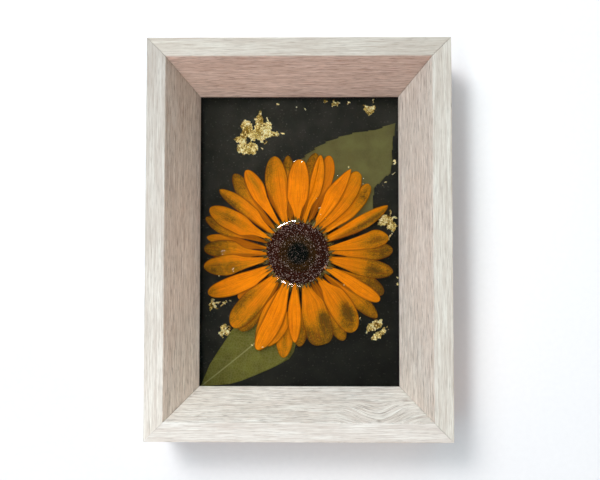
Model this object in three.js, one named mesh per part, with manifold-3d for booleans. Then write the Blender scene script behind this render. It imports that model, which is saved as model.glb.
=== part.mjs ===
// A pressed flower in a deep picture frame, lying on its back. Millimetres.
// +X runs to the picture's right, +Y to its top and +Z out of its front.
// The origin is the middle of the frame's back plane, which rests on z = 0.
import * as THREE from 'three';
import { mergeVertices } from 'three/addons/utils/BufferGeometryUtils.js';
import Module from 'manifold-3d';

const wasm = await Module();
wasm.setup();

// ---- Driving dimensions ----
const OUTER = { width: 152, height: 200.4, thickness: 48 };
const RIM = 9.5;                 // flat front face of each rail
const SLOPE = { run: 13.5, drop: 32 };
const LIP = 1.5;                 // upright edge at the foot of the slope
const REBATE = 4.5;              // how far the rebate runs in behind the lip
const MITRE_GAP = 0.2;           // glue line between two rails

const CLEARANCE = 0.3;           // round and in front of the panel, in the rebate
const RESIN = 4.5;
const GROUND = 3;                // black board that the flower lies on
const BACK_BOARD = 3;

const DOME = { x: -0.7, y: -6.8, radius: 18.2, rise: 2.75, root: 1, segments: 48, rings: 6 };

const POINT = { length: 14, width: 7, thickness: 0.8, arc_steps: 8, side_y: 48, gap: 0.1 };
const HANGER = { length: 44, width: 9, thickness: 0.8, raise: 1.2, foot: 10, ramp: 2, y: 54 };
const TEETH = { count: 6, pitch: 3, depth: 1.6 };
const NAIL = { shank: 0.7, head: 1.7, head_rise: 0.7, length: 3, inset: 5, gap: 0.1, segments: 20 };

// ---- Worked out from them ----
const MARGIN = RIM + SLOPE.run;                  // from the outer side to the opening
const SHELF_Z = OUTER.thickness - SLOPE.drop - LIP;
const REBATE_WALL = MARGIN - REBATE;             // from the outer side to the rebate's wall
const PANEL = {
  width: OUTER.width - 2 * (REBATE_WALL + CLEARANCE),
  height: OUTER.height - 2 * (REBATE_WALL + CLEARANCE),
};
const RESIN_TOP = SHELF_Z - CLEARANCE;
const RESIN_FOOT = RESIN_TOP - RESIN;
const GROUND_FOOT = RESIN_FOOT - GROUND;
const BOARD_FOOT = GROUND_FOOT - BACK_BOARD;     // the hidden face of the back board

// ---- Finishes ----
const finish = (color, roughness, metalness = 0, opacity = 1) => new THREE.MeshStandardMaterial({
  color, roughness, metalness, opacity, transparent: opacity < 1,
});
const limedWood = () => finish('#d9d3c9', 0.7);
const clearResin = () => finish('#f4f4ee', 0.05, 0, 0.25);
const blackBoard = () => finish('#16171a', 0.5);
const hardboard = () => finish('#7a5a3c', 0.8);
const steel = () => finish('#b9bcc0', 0.35, 1);

// ---- Helpers ----
function toSolid(geometry) {
  const bare = geometry.clone();
  bare.deleteAttribute('normal');
  bare.deleteAttribute('uv');
  const merged = mergeVertices(bare, 1e-4);
  return new wasm.Manifold(new wasm.Mesh({
    numProp: 3,
    vertProperties: merged.attributes.position.array,
    triVerts: new Uint32Array(merged.index.array),
  }));
}

function toGeometry(solid) {
  const mesh = solid.getMesh();
  const geometry = new THREE.BufferGeometry();
  geometry.setAttribute('position', new THREE.BufferAttribute(mesh.vertProperties, 3));
  geometry.setIndex(new THREE.BufferAttribute(mesh.triVerts, 1));
  return geometry;
}

function addMesh(parent, name, geometry, material) {
  const mesh = new THREE.Mesh(geometry, material);
  mesh.name = name;
  parent.add(mesh);
  return mesh;
}

// ---- Wooden rails ----
// The section's first coordinate runs inwards from the rail's outer side, its second up from the back.
function railSection() {
  const shape = new THREE.Shape();
  shape.moveTo(0, 0);
  shape.lineTo(REBATE_WALL, 0);
  shape.lineTo(REBATE_WALL, SHELF_Z);
  shape.lineTo(MARGIN, SHELF_Z);
  shape.lineTo(MARGIN, SHELF_Z + LIP);
  shape.lineTo(RIM, OUTER.thickness);
  shape.lineTo(0, OUTER.thickness);
  return shape;
}

// A rail along X with its outer side at y = 0 and its inner side towards +Y, both ends cut at 45 degrees.
function mitredRail(length) {
  const geometry = new THREE.ExtrudeGeometry(railSection(), { depth: 1, bevelEnabled: false });
  const position = geometry.attributes.position;
  for (let i = 0; i < position.count; i += 1) {
    const inward = position.getX(i);
    const up = position.getY(i);
    const end = position.getZ(i) > 0.5 ? 1 : -1;
    const reach = length / 2 - inward - MITRE_GAP / Math.SQRT2;
    position.setXYZ(i, end * reach, inward, up);
  }
  geometry.computeVertexNormals();
  return geometry;
}

function addRails(parent) {
  const { width, height } = OUTER;
  const places = [
    ['rail_bottom', width, [0, -height / 2, 0], 0],
    ['rail_right', height, [width / 2, 0, 0], Math.PI / 2],
    ['rail_top', width, [0, height / 2, 0], Math.PI],
    ['rail_left', height, [-width / 2, 0, 0], -Math.PI / 2],
  ];
  for (const [name, length, place, turn] of places) {
    const rail = addMesh(parent, name, mitredRail(length), limedWood());
    rail.position.set(...place);
    rail.rotation.z = turn;
  }
}

// ---- Panel: resin over a black board, and the board behind it ----
function slab(thickness) {
  return new THREE.BoxGeometry(PANEL.width, PANEL.height, thickness);
}

// A low cap, round about Z, standing on z = 0 with a short root below it.
function domeCap() {
  const { radius, rise, root, segments, rings } = DOME;
  const curve = (radius * radius + rise * rise) / (2 * rise);
  const halfAngle = Math.asin(radius / curve);
  const profile = [new THREE.Vector2(0, -root), new THREE.Vector2(radius, -root)];
  for (let ring = 0; ring < rings; ring += 1) {
    const angle = halfAngle * (1 - ring / rings);
    const height = curve * Math.cos(angle) - (curve - rise);
    profile.push(new THREE.Vector2(curve * Math.sin(angle), Math.max(height, 0)));
  }
  profile.push(new THREE.Vector2(0, rise));
  return new THREE.LatheGeometry(profile, segments).rotateX(Math.PI / 2);
}

function resinPanel() {
  const sheet = toSolid(slab(RESIN).translate(0, 0, RESIN_FOOT + RESIN / 2));
  const dome = toSolid(domeCap().translate(DOME.x, DOME.y, RESIN_TOP));
  return toGeometry(sheet.add(dome));
}

function addPanel(parent) {
  addMesh(parent, 'resin_sheet', resinPanel(), clearResin());
  const ground = addMesh(parent, 'black_board', slab(GROUND), blackBoard());
  ground.position.z = GROUND_FOOT + GROUND / 2;
  const back = addMesh(parent, 'back_board', slab(BACK_BOARD), hardboard());
  back.position.z = BOARD_FOOT + BACK_BOARD / 2;
}

// ---- Steel points that hold the boards in the rebate ----
// A flat tab along +X from the rebate's wall at x = 0, with a round nose.
function framerPoint() {
  const { length, width, thickness, arc_steps: steps } = POINT;
  const shape = new THREE.Shape();
  shape.moveTo(0, -width / 2);
  shape.lineTo(length - width / 2, -width / 2);
  shape.absarc(length - width / 2, 0, width / 2, -Math.PI / 2, Math.PI / 2, false);
  shape.lineTo(0, width / 2);
  return new THREE.ExtrudeGeometry(shape, { depth: thickness, bevelEnabled: false, curveSegments: steps });
}

function addPoints(parent) {
  const wallX = OUTER.width / 2 - REBATE_WALL - POINT.gap;
  const wallY = OUTER.height / 2 - REBATE_WALL - POINT.gap;
  const places = [
    ['point_left_upper', -wallX, POINT.side_y, 0],
    ['point_left_lower', -wallX, -POINT.side_y, 0],
    ['point_right_upper', wallX, POINT.side_y, Math.PI],
    ['point_right_lower', wallX, -POINT.side_y, Math.PI],
    ['point_top', 0, wallY, -Math.PI / 2],
    ['point_bottom', 0, -wallY, Math.PI / 2],
  ];
  for (const [name, x, y, turn] of places) {
    const point = addMesh(parent, name, framerPoint(), steel());
    point.position.set(x, y, BOARD_FOOT - POINT.thickness);
    point.rotation.z = turn;
  }
}

// ---- Sawtooth hanger and its two nails ----
// The strip seen from its edge: two feet flat on the board (y = 0) and a raised middle (towards -y).
function hangerEdge() {
  const { length, thickness, raise, foot, ramp } = HANGER;
  const half = length / 2;
  const top = [[-half, 0], [-half + foot, 0], [-half + foot + ramp, -raise]];
  const mirrored = (points) => points.map(([x, y]) => [-x, y]).reverse();
  const upper = [...top, ...mirrored(top)];
  const lower = upper.map(([x, y]) => [x, y - thickness]).reverse();
  return new THREE.Shape([...upper, ...lower].map(([x, y]) => new THREE.Vector2(x, y)));
}

// The notches that leave the teeth along one long edge of the strip.
function notchStrip() {
  const { count, pitch, depth } = TEETH;
  const left = -(count * pitch) / 2;
  const shape = new THREE.Shape();
  shape.moveTo(left, -depth);
  shape.lineTo(-left, -depth);
  shape.lineTo(-left, 0);
  for (let tooth = count; tooth > 0; tooth -= 1) {
    const right = left + tooth * pitch;
    shape.lineTo(right - pitch / 2, depth);
    shape.lineTo(right - pitch, 0);
  }
  return shape;
}

function hangerStrip() {
  const { length, width, thickness, raise } = HANGER;
  const deep = 4 * (thickness + raise);
  const strip = toSolid(new THREE.ExtrudeGeometry(hangerEdge(), { depth: width, bevelEnabled: false })
    .translate(0, 0, -width / 2).rotateX(Math.PI / 2));
  const notches = toSolid(new THREE.ExtrudeGeometry(notchStrip(), { depth: deep, bevelEnabled: false })
    .translate(0, -width / 2, -deep / 2));
  const hole = new THREE.CylinderGeometry(
    NAIL.shank + NAIL.gap, NAIL.shank + NAIL.gap, deep, NAIL.segments).rotateX(Math.PI / 2);
  const nailX = length / 2 - NAIL.inset;
  return toGeometry(strip
    .subtract(notches)
    .subtract(toSolid(hole.clone().translate(-nailX, 0, 0)))
    .subtract(toSolid(hole.clone().translate(nailX, 0, 0))));
}

// A round-headed nail whose shank ends at the board, z = 0, and whose head is below it.
function nail() {
  const { shank, head, head_rise: rise, segments } = NAIL;
  const seat = -HANGER.thickness - NAIL.gap;
  const profile = [
    new THREE.Vector2(0, 0),
    new THREE.Vector2(shank, 0),
    new THREE.Vector2(shank, seat),
    new THREE.Vector2(head, seat),
    new THREE.Vector2(head * 0.8, seat - rise * 0.7),
    new THREE.Vector2(0, seat - rise),
  ];
  return new THREE.LatheGeometry(profile.reverse(), segments).rotateX(Math.PI / 2);
}

function addHanger(parent) {
  const hanger = addMesh(parent, 'sawtooth_hanger', hangerStrip(), steel());
  hanger.position.set(0, HANGER.y, BOARD_FOOT);
  const nailX = HANGER.length / 2 - NAIL.inset;
  for (const [name, x] of [['hanger_nail_left', -nailX], ['hanger_nail_right', nailX]]) {
    addMesh(parent, name, nail(), steel()).position.set(x, HANGER.y, BOARD_FOOT);
  }
}

// ---- Assembly ----
const frame = new THREE.Group();
frame.name = 'pressed_flower_frame';
addRails(frame);
addPanel(frame);
addPoints(frame);
addHanger(frame);

export default frame;
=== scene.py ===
"""A pressed orange flower sealed in clear resin, in a deep limed-wood frame that lies on its back.

Everything is in metres in the frame's own axes: +X to its right, +Y to its top, +Z out of its front,
with z = 0 at the back plane. Sizes in the classes below are millimetres, turned to metres where a
vertex is placed.
"""
import logging
import math
import random
from dataclasses import dataclass
from enum import Enum
from typing import Sequence

import bmesh
import bpy
from mathutils import Matrix, Vector, noise


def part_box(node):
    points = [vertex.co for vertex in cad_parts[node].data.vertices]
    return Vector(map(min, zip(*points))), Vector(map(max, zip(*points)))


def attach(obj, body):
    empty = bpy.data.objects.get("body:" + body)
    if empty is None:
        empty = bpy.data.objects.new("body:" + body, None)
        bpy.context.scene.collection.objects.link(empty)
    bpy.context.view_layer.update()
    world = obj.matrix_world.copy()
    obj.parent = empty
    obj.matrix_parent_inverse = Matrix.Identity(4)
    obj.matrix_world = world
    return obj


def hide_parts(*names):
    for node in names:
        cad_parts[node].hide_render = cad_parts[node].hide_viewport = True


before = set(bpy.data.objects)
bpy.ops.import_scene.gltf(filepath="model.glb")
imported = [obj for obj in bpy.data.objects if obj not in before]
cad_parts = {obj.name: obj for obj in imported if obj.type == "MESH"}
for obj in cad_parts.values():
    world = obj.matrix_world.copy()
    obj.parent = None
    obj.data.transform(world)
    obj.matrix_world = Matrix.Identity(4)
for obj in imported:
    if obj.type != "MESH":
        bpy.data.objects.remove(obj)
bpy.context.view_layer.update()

MM = 0.001
PER_MM = 1 / MM
WELD = 0.004 * MM              # points closer together than this become one
Colour = tuple[float, float, float, float]
LOG = logging.getLogger("pressed_flower_frame")


# ---- Small helpers ---------------------------------------------------------------------------------
def linear(hex_code: str) -> Colour:
    """Turns an sRGB hex code such as "#D9D3C9" into a linear colour.

    Args:
        hex_code: The colour, with its leading #.

    Returns:
        Red, green, blue and an alpha of 1.
    """
    parts = [int(hex_code[i:i + 2], 16) / 255 for i in (1, 3, 5)]
    red, green, blue = (c / 12.92 if c <= 0.04045 else ((c + 0.055) / 1.055) ** 2.4 for c in parts)
    return (red, green, blue, 1.0)


def add_node(tree: bpy.types.NodeTree, kind: str, feeds: dict | None = None,
             stops: Sequence[tuple[float, Colour]] = (), **settings: object) -> bpy.types.Node:
    """Adds a node to a tree, with its settings, its inputs and, on a ramp, its stops.

    Args:
        tree: The node tree.
        kind: The node's type name.
        feeds: Input name or number to a plain value, or to the output socket that drives it.
        stops: Places and colours along a colour ramp.
        settings: Properties of the node.

    Returns:
        The new node.
    """
    node = tree.nodes.new(kind)
    for name, value in settings.items():
        setattr(node, name, value)
    for key, value in (feeds or {}).items():
        if isinstance(value, bpy.types.NodeSocket):
            tree.links.new(value, node.inputs[key])
        else:
            node.inputs[key].default_value = value
    for index, (place, colour) in enumerate(stops):
        band = node.color_ramp.elements
        stop = band[index] if index < 2 else band.new(place)
        stop.position = place
        stop.color = colour
    return node


def smooth_step(value: float) -> float:
    """Eases a value from 0 to 1 with level ends."""
    value = min(max(value, 0.0), 1.0)
    return value * value * (3 - 2 * value)


def bell(value: float, width: float) -> float:
    """A rounded bump of height 1 at 0, falling away over width."""
    return math.exp(-(value / width) ** 2)


def unrest(x: float, y: float, layer: float) -> float:
    """Smooth unevenness between about -1 and 1 at a place; each layer has its own."""
    return noise.noise(Vector((x, y, layer)))


def heading(degrees: float) -> Vector:
    """The flat unit vector at an angle, anticlockwise from +X."""
    return Vector((math.cos(math.radians(degrees)), math.sin(math.radians(degrees))))


def right_of(ahead: Vector) -> Vector:
    """A flat vector turned a quarter clockwise."""
    return Vector((ahead.y, -ahead.x))


def board_top() -> float:
    """The black board's face, in metres, on which all that is sealed in the resin lies."""
    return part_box("black_board")[1][2]


def only_verts(made: Sequence) -> list[bmesh.types.BMVert]:
    """The vertices among what a bmesh operator made."""
    return [item for item in made if isinstance(item, bmesh.types.BMVert)]


def interpolate(table: Sequence[tuple[float, float]], at: float) -> float:
    """Reads a given outline, straight from each of its points to the next.

    Args:
        table: Places and values, in rising order of place.
        at: The place to read.

    Returns:
        The value there.
    """
    for (start, low), (end, high) in zip(table, table[1:]):
        if at <= end:
            part = (at - start) / (end - start)
            return low + (high - low) * min(max(part, 0.0), 1.0)
    return table[-1][1]


def finish_piece(name: str, mesh: bmesh.types.BMesh, material: bpy.types.Material,
                 smooth: bool = True) -> bpy.types.Object:
    """Turns a bmesh in metres into a piece that rides on the frame.

    Args:
        name: The piece's name.
        mesh: Its shape, already in place. It is freed here.
        material: Its finish.
        smooth: Whether its faces are shaded smooth.

    Returns:
        The new object, at the origin.
    """
    for face in mesh.faces:
        face.smooth = smooth
    data = bpy.data.meshes.new(name)
    mesh.to_mesh(data)
    mesh.free()
    data.materials.append(material)
    piece = bpy.data.objects.new(name, data)
    bpy.context.scene.collection.objects.link(piece)
    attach(piece, "root")
    LOG.info("%s: %d faces", name, len(data.polygons))
    return piece


def thicken(mesh: bmesh.types.BMesh, deep: float) -> None:
    """Closes an open sheet by drawing it straight down.

    Args:
        mesh: The sheet.
        deep: How thick it becomes, in millimetres.
    """
    made = bmesh.ops.extrude_face_region(mesh, geom=mesh.faces[:])["geom"]
    bmesh.ops.translate(mesh, verts=only_verts(made), vec=(0, 0, -deep * MM))
    bmesh.ops.recalc_face_normals(mesh, faces=mesh.faces)


def dress_node(name: str, material: bpy.types.Material) -> None:
    """Gives a carried-over node a finish in place of its plain one.

    Args:
        name: The node.
        material: Its finish.
    """
    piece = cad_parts[name]
    for slot in piece.material_slots:
        slot.material = material
    LOG.info("%s: dressed in %s", name, material.name)


def new_material(name: str) -> tuple[bpy.types.Material, bpy.types.NodeTree]:
    """Makes an empty node material.

    Args:
        name: The finish's common name.

    Returns:
        The material and its node tree, with nothing in it.
    """
    material = bpy.data.materials.new(name)
    material.use_nodes = True
    material.node_tree.nodes.clear()
    return material, material.node_tree


def close_surface(tree: bpy.types.NodeTree, feeds: dict) -> bpy.types.Node:
    """Adds the shader and the output to a material.

    Args:
        tree: The material's tree.
        feeds: Inputs of the Principled shader.

    Returns:
        The output node.
    """
    shader = add_node(tree, "ShaderNodeBsdfPrincipled", feeds)
    return add_node(tree, "ShaderNodeOutputMaterial", {"Surface": shader.outputs[0]})


# ---- Finishes --------------------------------------------------------------------------------------
@dataclass(frozen=True)
class PinKnot:
    """A small dark knot in a rail's slope, and the grain that sweeps round it. Millimetres."""

    place: tuple[float, float, float] = (0.0, 0.0, 0.0)
    sweep: float = 0.0         # how far it carries the grain
    reach: float = 24.0        # from how far away
    size: float = 1.6
    depth: float = 0.0         # how dark its middle is
    down_slope: tuple[float, float] = (0.39, -0.92)   # which way the grain is carried: inward, up


@dataclass(frozen=True)
class LimedWood:
    """Open-grained wood rubbed with white lime wax: a chalky face with fine grey-brown grain lines."""

    name: str
    turn: float                        # degrees from +X to the grain
    shift: tuple[float, float, float]  # where in the plank the rail was cut, mm
    flat: tuple[float, float, float] = (1.0, 1.0, 1.0)    # tint of the rim, set for each rail
    slope: tuple[float, float, float] = (1.0, 1.0, 1.0)   # tint of the slope: partly the wood's own tone, partly painted light and shade for how light falls on that slope
    drift: tuple[float, float] = (1.0, 1.0)   # painted falloff of light: its gain at the rail's two ends, from -X or -Y up
    lime: str = "#DCD7CD"
    wood: str = "#B8AA9D"
    grain: str = "#7C6E62"
    fibre_mm: float = 0.32             # drawn at about a pixel: real fibres are finer than shows
    fibre_run_mm: float = 16.0
    strand_mm: float = 1.1
    strand_run_mm: float = 45.0
    pore_mm: float = 0.25
    pore_run_mm: float = 6.5
    ring_mm: float = 4.5
    ring_run_mm: float = 70.0
    half_rail_mm: float = 100.0
    steep: float = 0.7                 # a face whose normal rises less than this counts as a slope
    level: float = 0.95                # and one whose normal rises more than this as flat
    knot: PinKnot = PinKnot()

    def material(self) -> bpy.types.Material:
        """Builds the grain from stretched noise in object space, along the rail.

        Returns:
            The finished material.
        """
        material, tree = new_material(self.name)
        place = add_node(tree, "ShaderNodeTexCoord").outputs["Object"]
        from_knot = add_node(tree, "ShaderNodeVectorMath", {
            0: place, 1: tuple(v * MM for v in self.knot.place)}, operation="DISTANCE").outputs["Value"]
        facing = add_node(tree, "ShaderNodeSeparateXYZ", {
            0: add_node(tree, "ShaderNodeNewGeometry").outputs["Normal"]})
        sweep = add_node(tree, "ShaderNodeMapRange", {
            "Value": from_knot, "From Max": self.knot.reach * MM, "To Min": self.knot.sweep,
            "To Max": 0.0}, interpolation_type="SMOOTHSTEP")
        on_slope = add_node(tree, "ShaderNodeMapRange", {
            "Value": facing.outputs["Z"], "From Min": self.steep, "From Max": self.level,
            "To Min": sweep.outputs[0], "To Max": 0.0})
        straight = add_node(tree, "ShaderNodeMapping", {
            "Vector": place, "Rotation": (0, 0, math.radians(-self.turn)),
            "Location": self.shift, "Scale": (PER_MM,) * 3})
        swept = add_node(tree, "ShaderNodeVectorMath", {
            0: (0, *self.knot.down_slope), "Scale": on_slope.outputs[0]}, operation="SCALE")
        plank = add_node(tree, "ShaderNodeVectorMath", {
            0: straight.outputs[0], 1: swept.outputs[0]}, operation="ADD")

        def stretched(run: float, across: float) -> bpy.types.NodeSocket:
            """Squeezes the plank's space so that noise of size 1 becomes a fibre."""
            return add_node(tree, "ShaderNodeMapping", {
                "Vector": plank.outputs[0], "Scale": (1 / run, 1 / across, 1 / across)}).outputs[0]

        wander = add_node(tree, "ShaderNodeTexNoise", {
            "Vector": stretched(self.ring_run_mm, self.ring_mm * 5), "Scale": 1.0, "Detail": 2.0})
        bent = add_node(tree, "ShaderNodeVectorMath", {
            0: stretched(self.ring_run_mm, self.ring_mm), 1: wander.outputs["Color"]}, operation="ADD")
        bands = add_node(tree, "ShaderNodeTexNoise", {
            "Vector": bent.outputs[0], "Scale": 1.6, "Detail": 3.0, "Roughness": 0.6})
        strand = add_node(tree, "ShaderNodeTexNoise", {
            "Vector": stretched(self.strand_run_mm, self.strand_mm), "Scale": 1.0, "Detail": 3.0,
            "Roughness": 0.6, "Distortion": 0.2})
        fibre = add_node(tree, "ShaderNodeTexNoise", {
            "Vector": stretched(self.fibre_run_mm, self.fibre_mm), "Scale": 1.0, "Detail": 3.0,
            "Roughness": 0.7, "Distortion": 0.25})
        pores = add_node(tree, "ShaderNodeTexNoise", {
            "Vector": stretched(self.pore_run_mm, self.pore_mm), "Scale": 1.0, "Detail": 1.0,
            "Roughness": 0.6, "Distortion": 0.15})
        flat_part = add_node(tree, "ShaderNodeMapRange", {
            "Value": facing.outputs["Z"], "From Min": self.steep, "From Max": self.level})
        # Painted light and shade: rim and slope take separate tints, set for each rail to how light falls on
        # that face as well as to its wood.
        tint = add_node(tree, "ShaderNodeMix", {
            0: flat_part.outputs[0], 6: (*self.slope, 1), 7: (*self.flat, 1)}, data_type="RGBA")
        fibre_depth = add_node(tree, "ShaderNodeMapRange", {
            "Value": flat_part.outputs[0], "To Min": 1.2, "To Max": 0.8})
        pore_depth = add_node(tree, "ShaderNodeMapRange", {
            "Value": flat_part.outputs[0], "To Min": 0.75, "To Max": 0.3})
        band_part = add_node(tree, "ShaderNodeMapRange", {
            "Value": bands.outputs[0], "From Min": 0.40, "From Max": 0.66, "To Min": 0.0, "To Max": 0.35})
        strand_part = add_node(tree, "ShaderNodeMapRange", {
            "Value": strand.outputs[0], "From Min": 0.44, "From Max": 0.64, "To Max": 0.5})
        fibre_part = add_node(tree, "ShaderNodeMapRange", {
            "Value": fibre.outputs[0], "From Min": 0.455, "From Max": 0.62, "To Max": fibre_depth.outputs[0]})
        pore_part = add_node(tree, "ShaderNodeMapRange", {
            "Value": pores.outputs[0], "From Min": 0.56, "From Max": 0.64, "To Max": pore_depth.outputs[0]})
        banded = add_node(tree, "ShaderNodeMix", {
            0: band_part.outputs[0], 6: linear(self.lime), 7: linear(self.wood)}, data_type="RGBA")
        stranded = add_node(tree, "ShaderNodeMix", {
            0: strand_part.outputs[0], 6: banded.outputs[2], 7: linear(self.wood)}, data_type="RGBA")
        fibred = add_node(tree, "ShaderNodeMix", {
            0: fibre_part.outputs[0], 6: stranded.outputs[2], 7: linear(self.wood)}, data_type="RGBA")
        pored = add_node(tree, "ShaderNodeMix", {
            0: pore_part.outputs[0], 6: fibred.outputs[2], 7: linear(self.grain)}, data_type="RGBA")
        knot_part = add_node(tree, "ShaderNodeMapRange", {
            "Value": from_knot, "From Max": self.knot.size * MM, "To Min": self.knot.depth,
            "To Max": 0.0})
        knotted = add_node(tree, "ShaderNodeMix", {
            0: knot_part.outputs[0], 6: pored.outputs[2], 7: linear(self.grain)}, data_type="RGBA")
        # Painted light falloff: the colour is scaled from one end of the rail to the other, darker at the end
        # that gets less light.
        axis = "X" if self.turn in (0, 180) else "Y"
        ends = add_node(tree, "ShaderNodeSeparateXYZ", {0: place})
        far = self.half_rail_mm * MM
        painted_falloff = add_node(tree, "ShaderNodeMapRange", {
            "Value": ends.outputs[axis], "From Min": -far, "From Max": far,
            "To Min": self.drift[0], "To Max": self.drift[1]})
        tinted = add_node(tree, "ShaderNodeVectorMath", {
            0: knotted.outputs[2], 1: tint.outputs[2]}, operation="MULTIPLY")
        falloff_painted = add_node(tree, "ShaderNodeVectorMath", {
            0: tinted.outputs[0], "Scale": painted_falloff.outputs[0]}, operation="SCALE")
        hollows = add_node(tree, "ShaderNodeMath", {
            0: fibre_part.outputs[0], 1: pore_part.outputs[0]}, operation="ADD")
        relief = add_node(tree, "ShaderNodeBump", {
            "Height": hollows.outputs[0], "Strength": 0.4, "Distance": 0.12 * MM}, invert=True)
        close_surface(tree, {
            "Base Color": falloff_painted.outputs[0], "Roughness": 0.68, "Specular IOR Level": 0.35,
            "Normal": relief.outputs[0]})
        return material


@dataclass(frozen=True)
class CastResin:
    """Clear epoxy, poured and cured glossy: it deepens every colour and takes sharp highlights."""

    name: str = "cast_epoxy"
    roughness: float = 0.0
    ior: float = 1.55
    tint: str = "#FFFBF0"
    density: float = 2.0       # per metre, so a few millimetres stay clear

    def material(self) -> bpy.types.Material:
        """Builds plain transmission with a faint absorption.

        Returns:
            The finished material.
        """
        material, tree = new_material(self.name)
        output = close_surface(tree, {
            "Base Color": linear("#FFFFFF"), "Roughness": self.roughness, "IOR": self.ior,
            "Transmission Weight": 1.0})
        volume = add_node(tree, "ShaderNodeVolumeAbsorption", {
            "Color": linear(self.tint), "Density": self.density})
        tree.links.new(volume.outputs[0], output.inputs["Volume"])
        return material


@dataclass(frozen=True)
class PaintedBoard:
    """Fibreboard painted matt black: a near-black with faint dust and mottle, paler toward the upper left by
    a painted reflection.
    """

    name: str = "black_painted_board"
    paint: str = "#33322C"
    thin: str = "#282722"
    dust: str = "#5A584F"
    painted_reflection: float = 0.42         # how much paler the painted reflection makes the palest corner
    painted_reflection_mm: float = 170.0     # over what length the painted reflection fades
    painted_reflection_toward: tuple[float, float, float] = (-0.6, 0.8, 0.0)
    mottle_mm: float = 9.0
    dust_mm: float = 1.1

    def material(self) -> bpy.types.Material:
        """Builds a soft mottle with a sprinkle of paler dust, and a painted reflection that pales it toward
        the upper left.

        Returns:
            The finished material.
        """
        material, tree = new_material(self.name)
        place = add_node(tree, "ShaderNodeTexCoord").outputs["Object"]
        mottle = add_node(tree, "ShaderNodeTexNoise", {
            "Vector": place, "Scale": PER_MM / self.mottle_mm, "Detail": 4.0})
        dust = add_node(tree, "ShaderNodeTexNoise", {
            "Vector": place, "Scale": PER_MM / self.dust_mm, "Detail": 1.0})
        dust_part = add_node(tree, "ShaderNodeMapRange", {
            "Value": dust.outputs[0], "From Min": 0.66, "From Max": 0.74, "To Max": 0.6})
        base = add_node(tree, "ShaderNodeValToRGB", {"Fac": mottle.outputs[0]},
                        stops=((0.35, linear(self.thin)), (0.65, linear(self.paint))))
        colour = add_node(tree, "ShaderNodeMix", {
            0: dust_part.outputs[0], 6: base.outputs[0], 7: linear(self.dust)}, data_type="RGBA")
        # Painted reflection: the paint is made paler toward the upper left and darker toward the lower right.
        toward = add_node(tree, "ShaderNodeVectorMath", {
            0: place, 1: self.painted_reflection_toward}, operation="DOT_PRODUCT")
        far = self.painted_reflection_mm / 2 * MM
        painted_reflection = add_node(tree, "ShaderNodeMapRange", {
            "Value": toward.outputs["Value"], "From Min": -far, "From Max": far,
            "To Min": 1 - self.painted_reflection, "To Max": 1 + self.painted_reflection})
        reflection_painted = add_node(tree, "ShaderNodeVectorMath", {
            0: colour.outputs[2], "Scale": painted_reflection.outputs[0]}, operation="SCALE")
        close_surface(tree, {
            "Base Color": reflection_painted.outputs[0], "Roughness": 0.6, "Specular IOR Level": 0.03})
        return material


@dataclass(frozen=True)
class Hardboard:
    """Pressed brown hardboard: matted fibres with darker flecks."""

    name: str = "pressed_hardboard"
    light: str = "#9B7650"
    dark: str = "#6B4A2E"
    fibre_mm: float = 1.4

    def material(self) -> bpy.types.Material:
        """Builds matted fibre from two scales of noise.

        Returns:
            The finished material.
        """
        material, tree = new_material(self.name)
        place = add_node(tree, "ShaderNodeTexCoord").outputs["Object"]
        fibre = add_node(tree, "ShaderNodeTexNoise", {
            "Vector": place, "Scale": PER_MM / self.fibre_mm, "Detail": 8.0, "Roughness": 0.7,
            "Distortion": 1.2})
        colour = add_node(tree, "ShaderNodeValToRGB", {"Fac": fibre.outputs[0]},
                          stops=((0.3, linear(self.dark)), (0.7, linear(self.light))))
        relief = add_node(tree, "ShaderNodeBump", {
            "Height": fibre.outputs[0], "Strength": 0.4, "Distance": 0.15 * MM})
        close_surface(tree, {
            "Base Color": colour.outputs[0], "Roughness": 0.85, "Normal": relief.outputs[0]})
        return material


@dataclass(frozen=True)
class ZincSteel:
    """Zinc-plated spring steel: a grey metal with soft drawn scratches."""

    name: str = "zinc_plated_steel"
    bright: str = "#C9CCCF"
    dull: str = "#8F9498"
    scratch_mm: float = 0.4

    def material(self) -> bpy.types.Material:
        """Builds drawn scratches that change colour and gloss together.

        Returns:
            The finished material.
        """
        material, tree = new_material(self.name)
        place = add_node(tree, "ShaderNodeTexCoord").outputs["Object"]
        drawn = add_node(tree, "ShaderNodeMapping", {
            "Vector": place, "Scale": (0.08 * PER_MM / self.scratch_mm,) + (PER_MM / self.scratch_mm,) * 2})
        scratch = add_node(tree, "ShaderNodeTexNoise", {
            "Vector": drawn.outputs[0], "Scale": 1.0, "Detail": 4.0})
        colour = add_node(tree, "ShaderNodeValToRGB", {"Fac": scratch.outputs[0]},
                          stops=((0.3, linear(self.dull)), (0.75, linear(self.bright))))
        gloss = add_node(tree, "ShaderNodeMapRange", {
            "Value": scratch.outputs[0], "To Min": 0.28, "To Max": 0.5})
        close_surface(tree, {
            "Base Color": colour.outputs[0], "Metallic": 1.0, "Roughness": gloss.outputs[0]})
        return material


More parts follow.
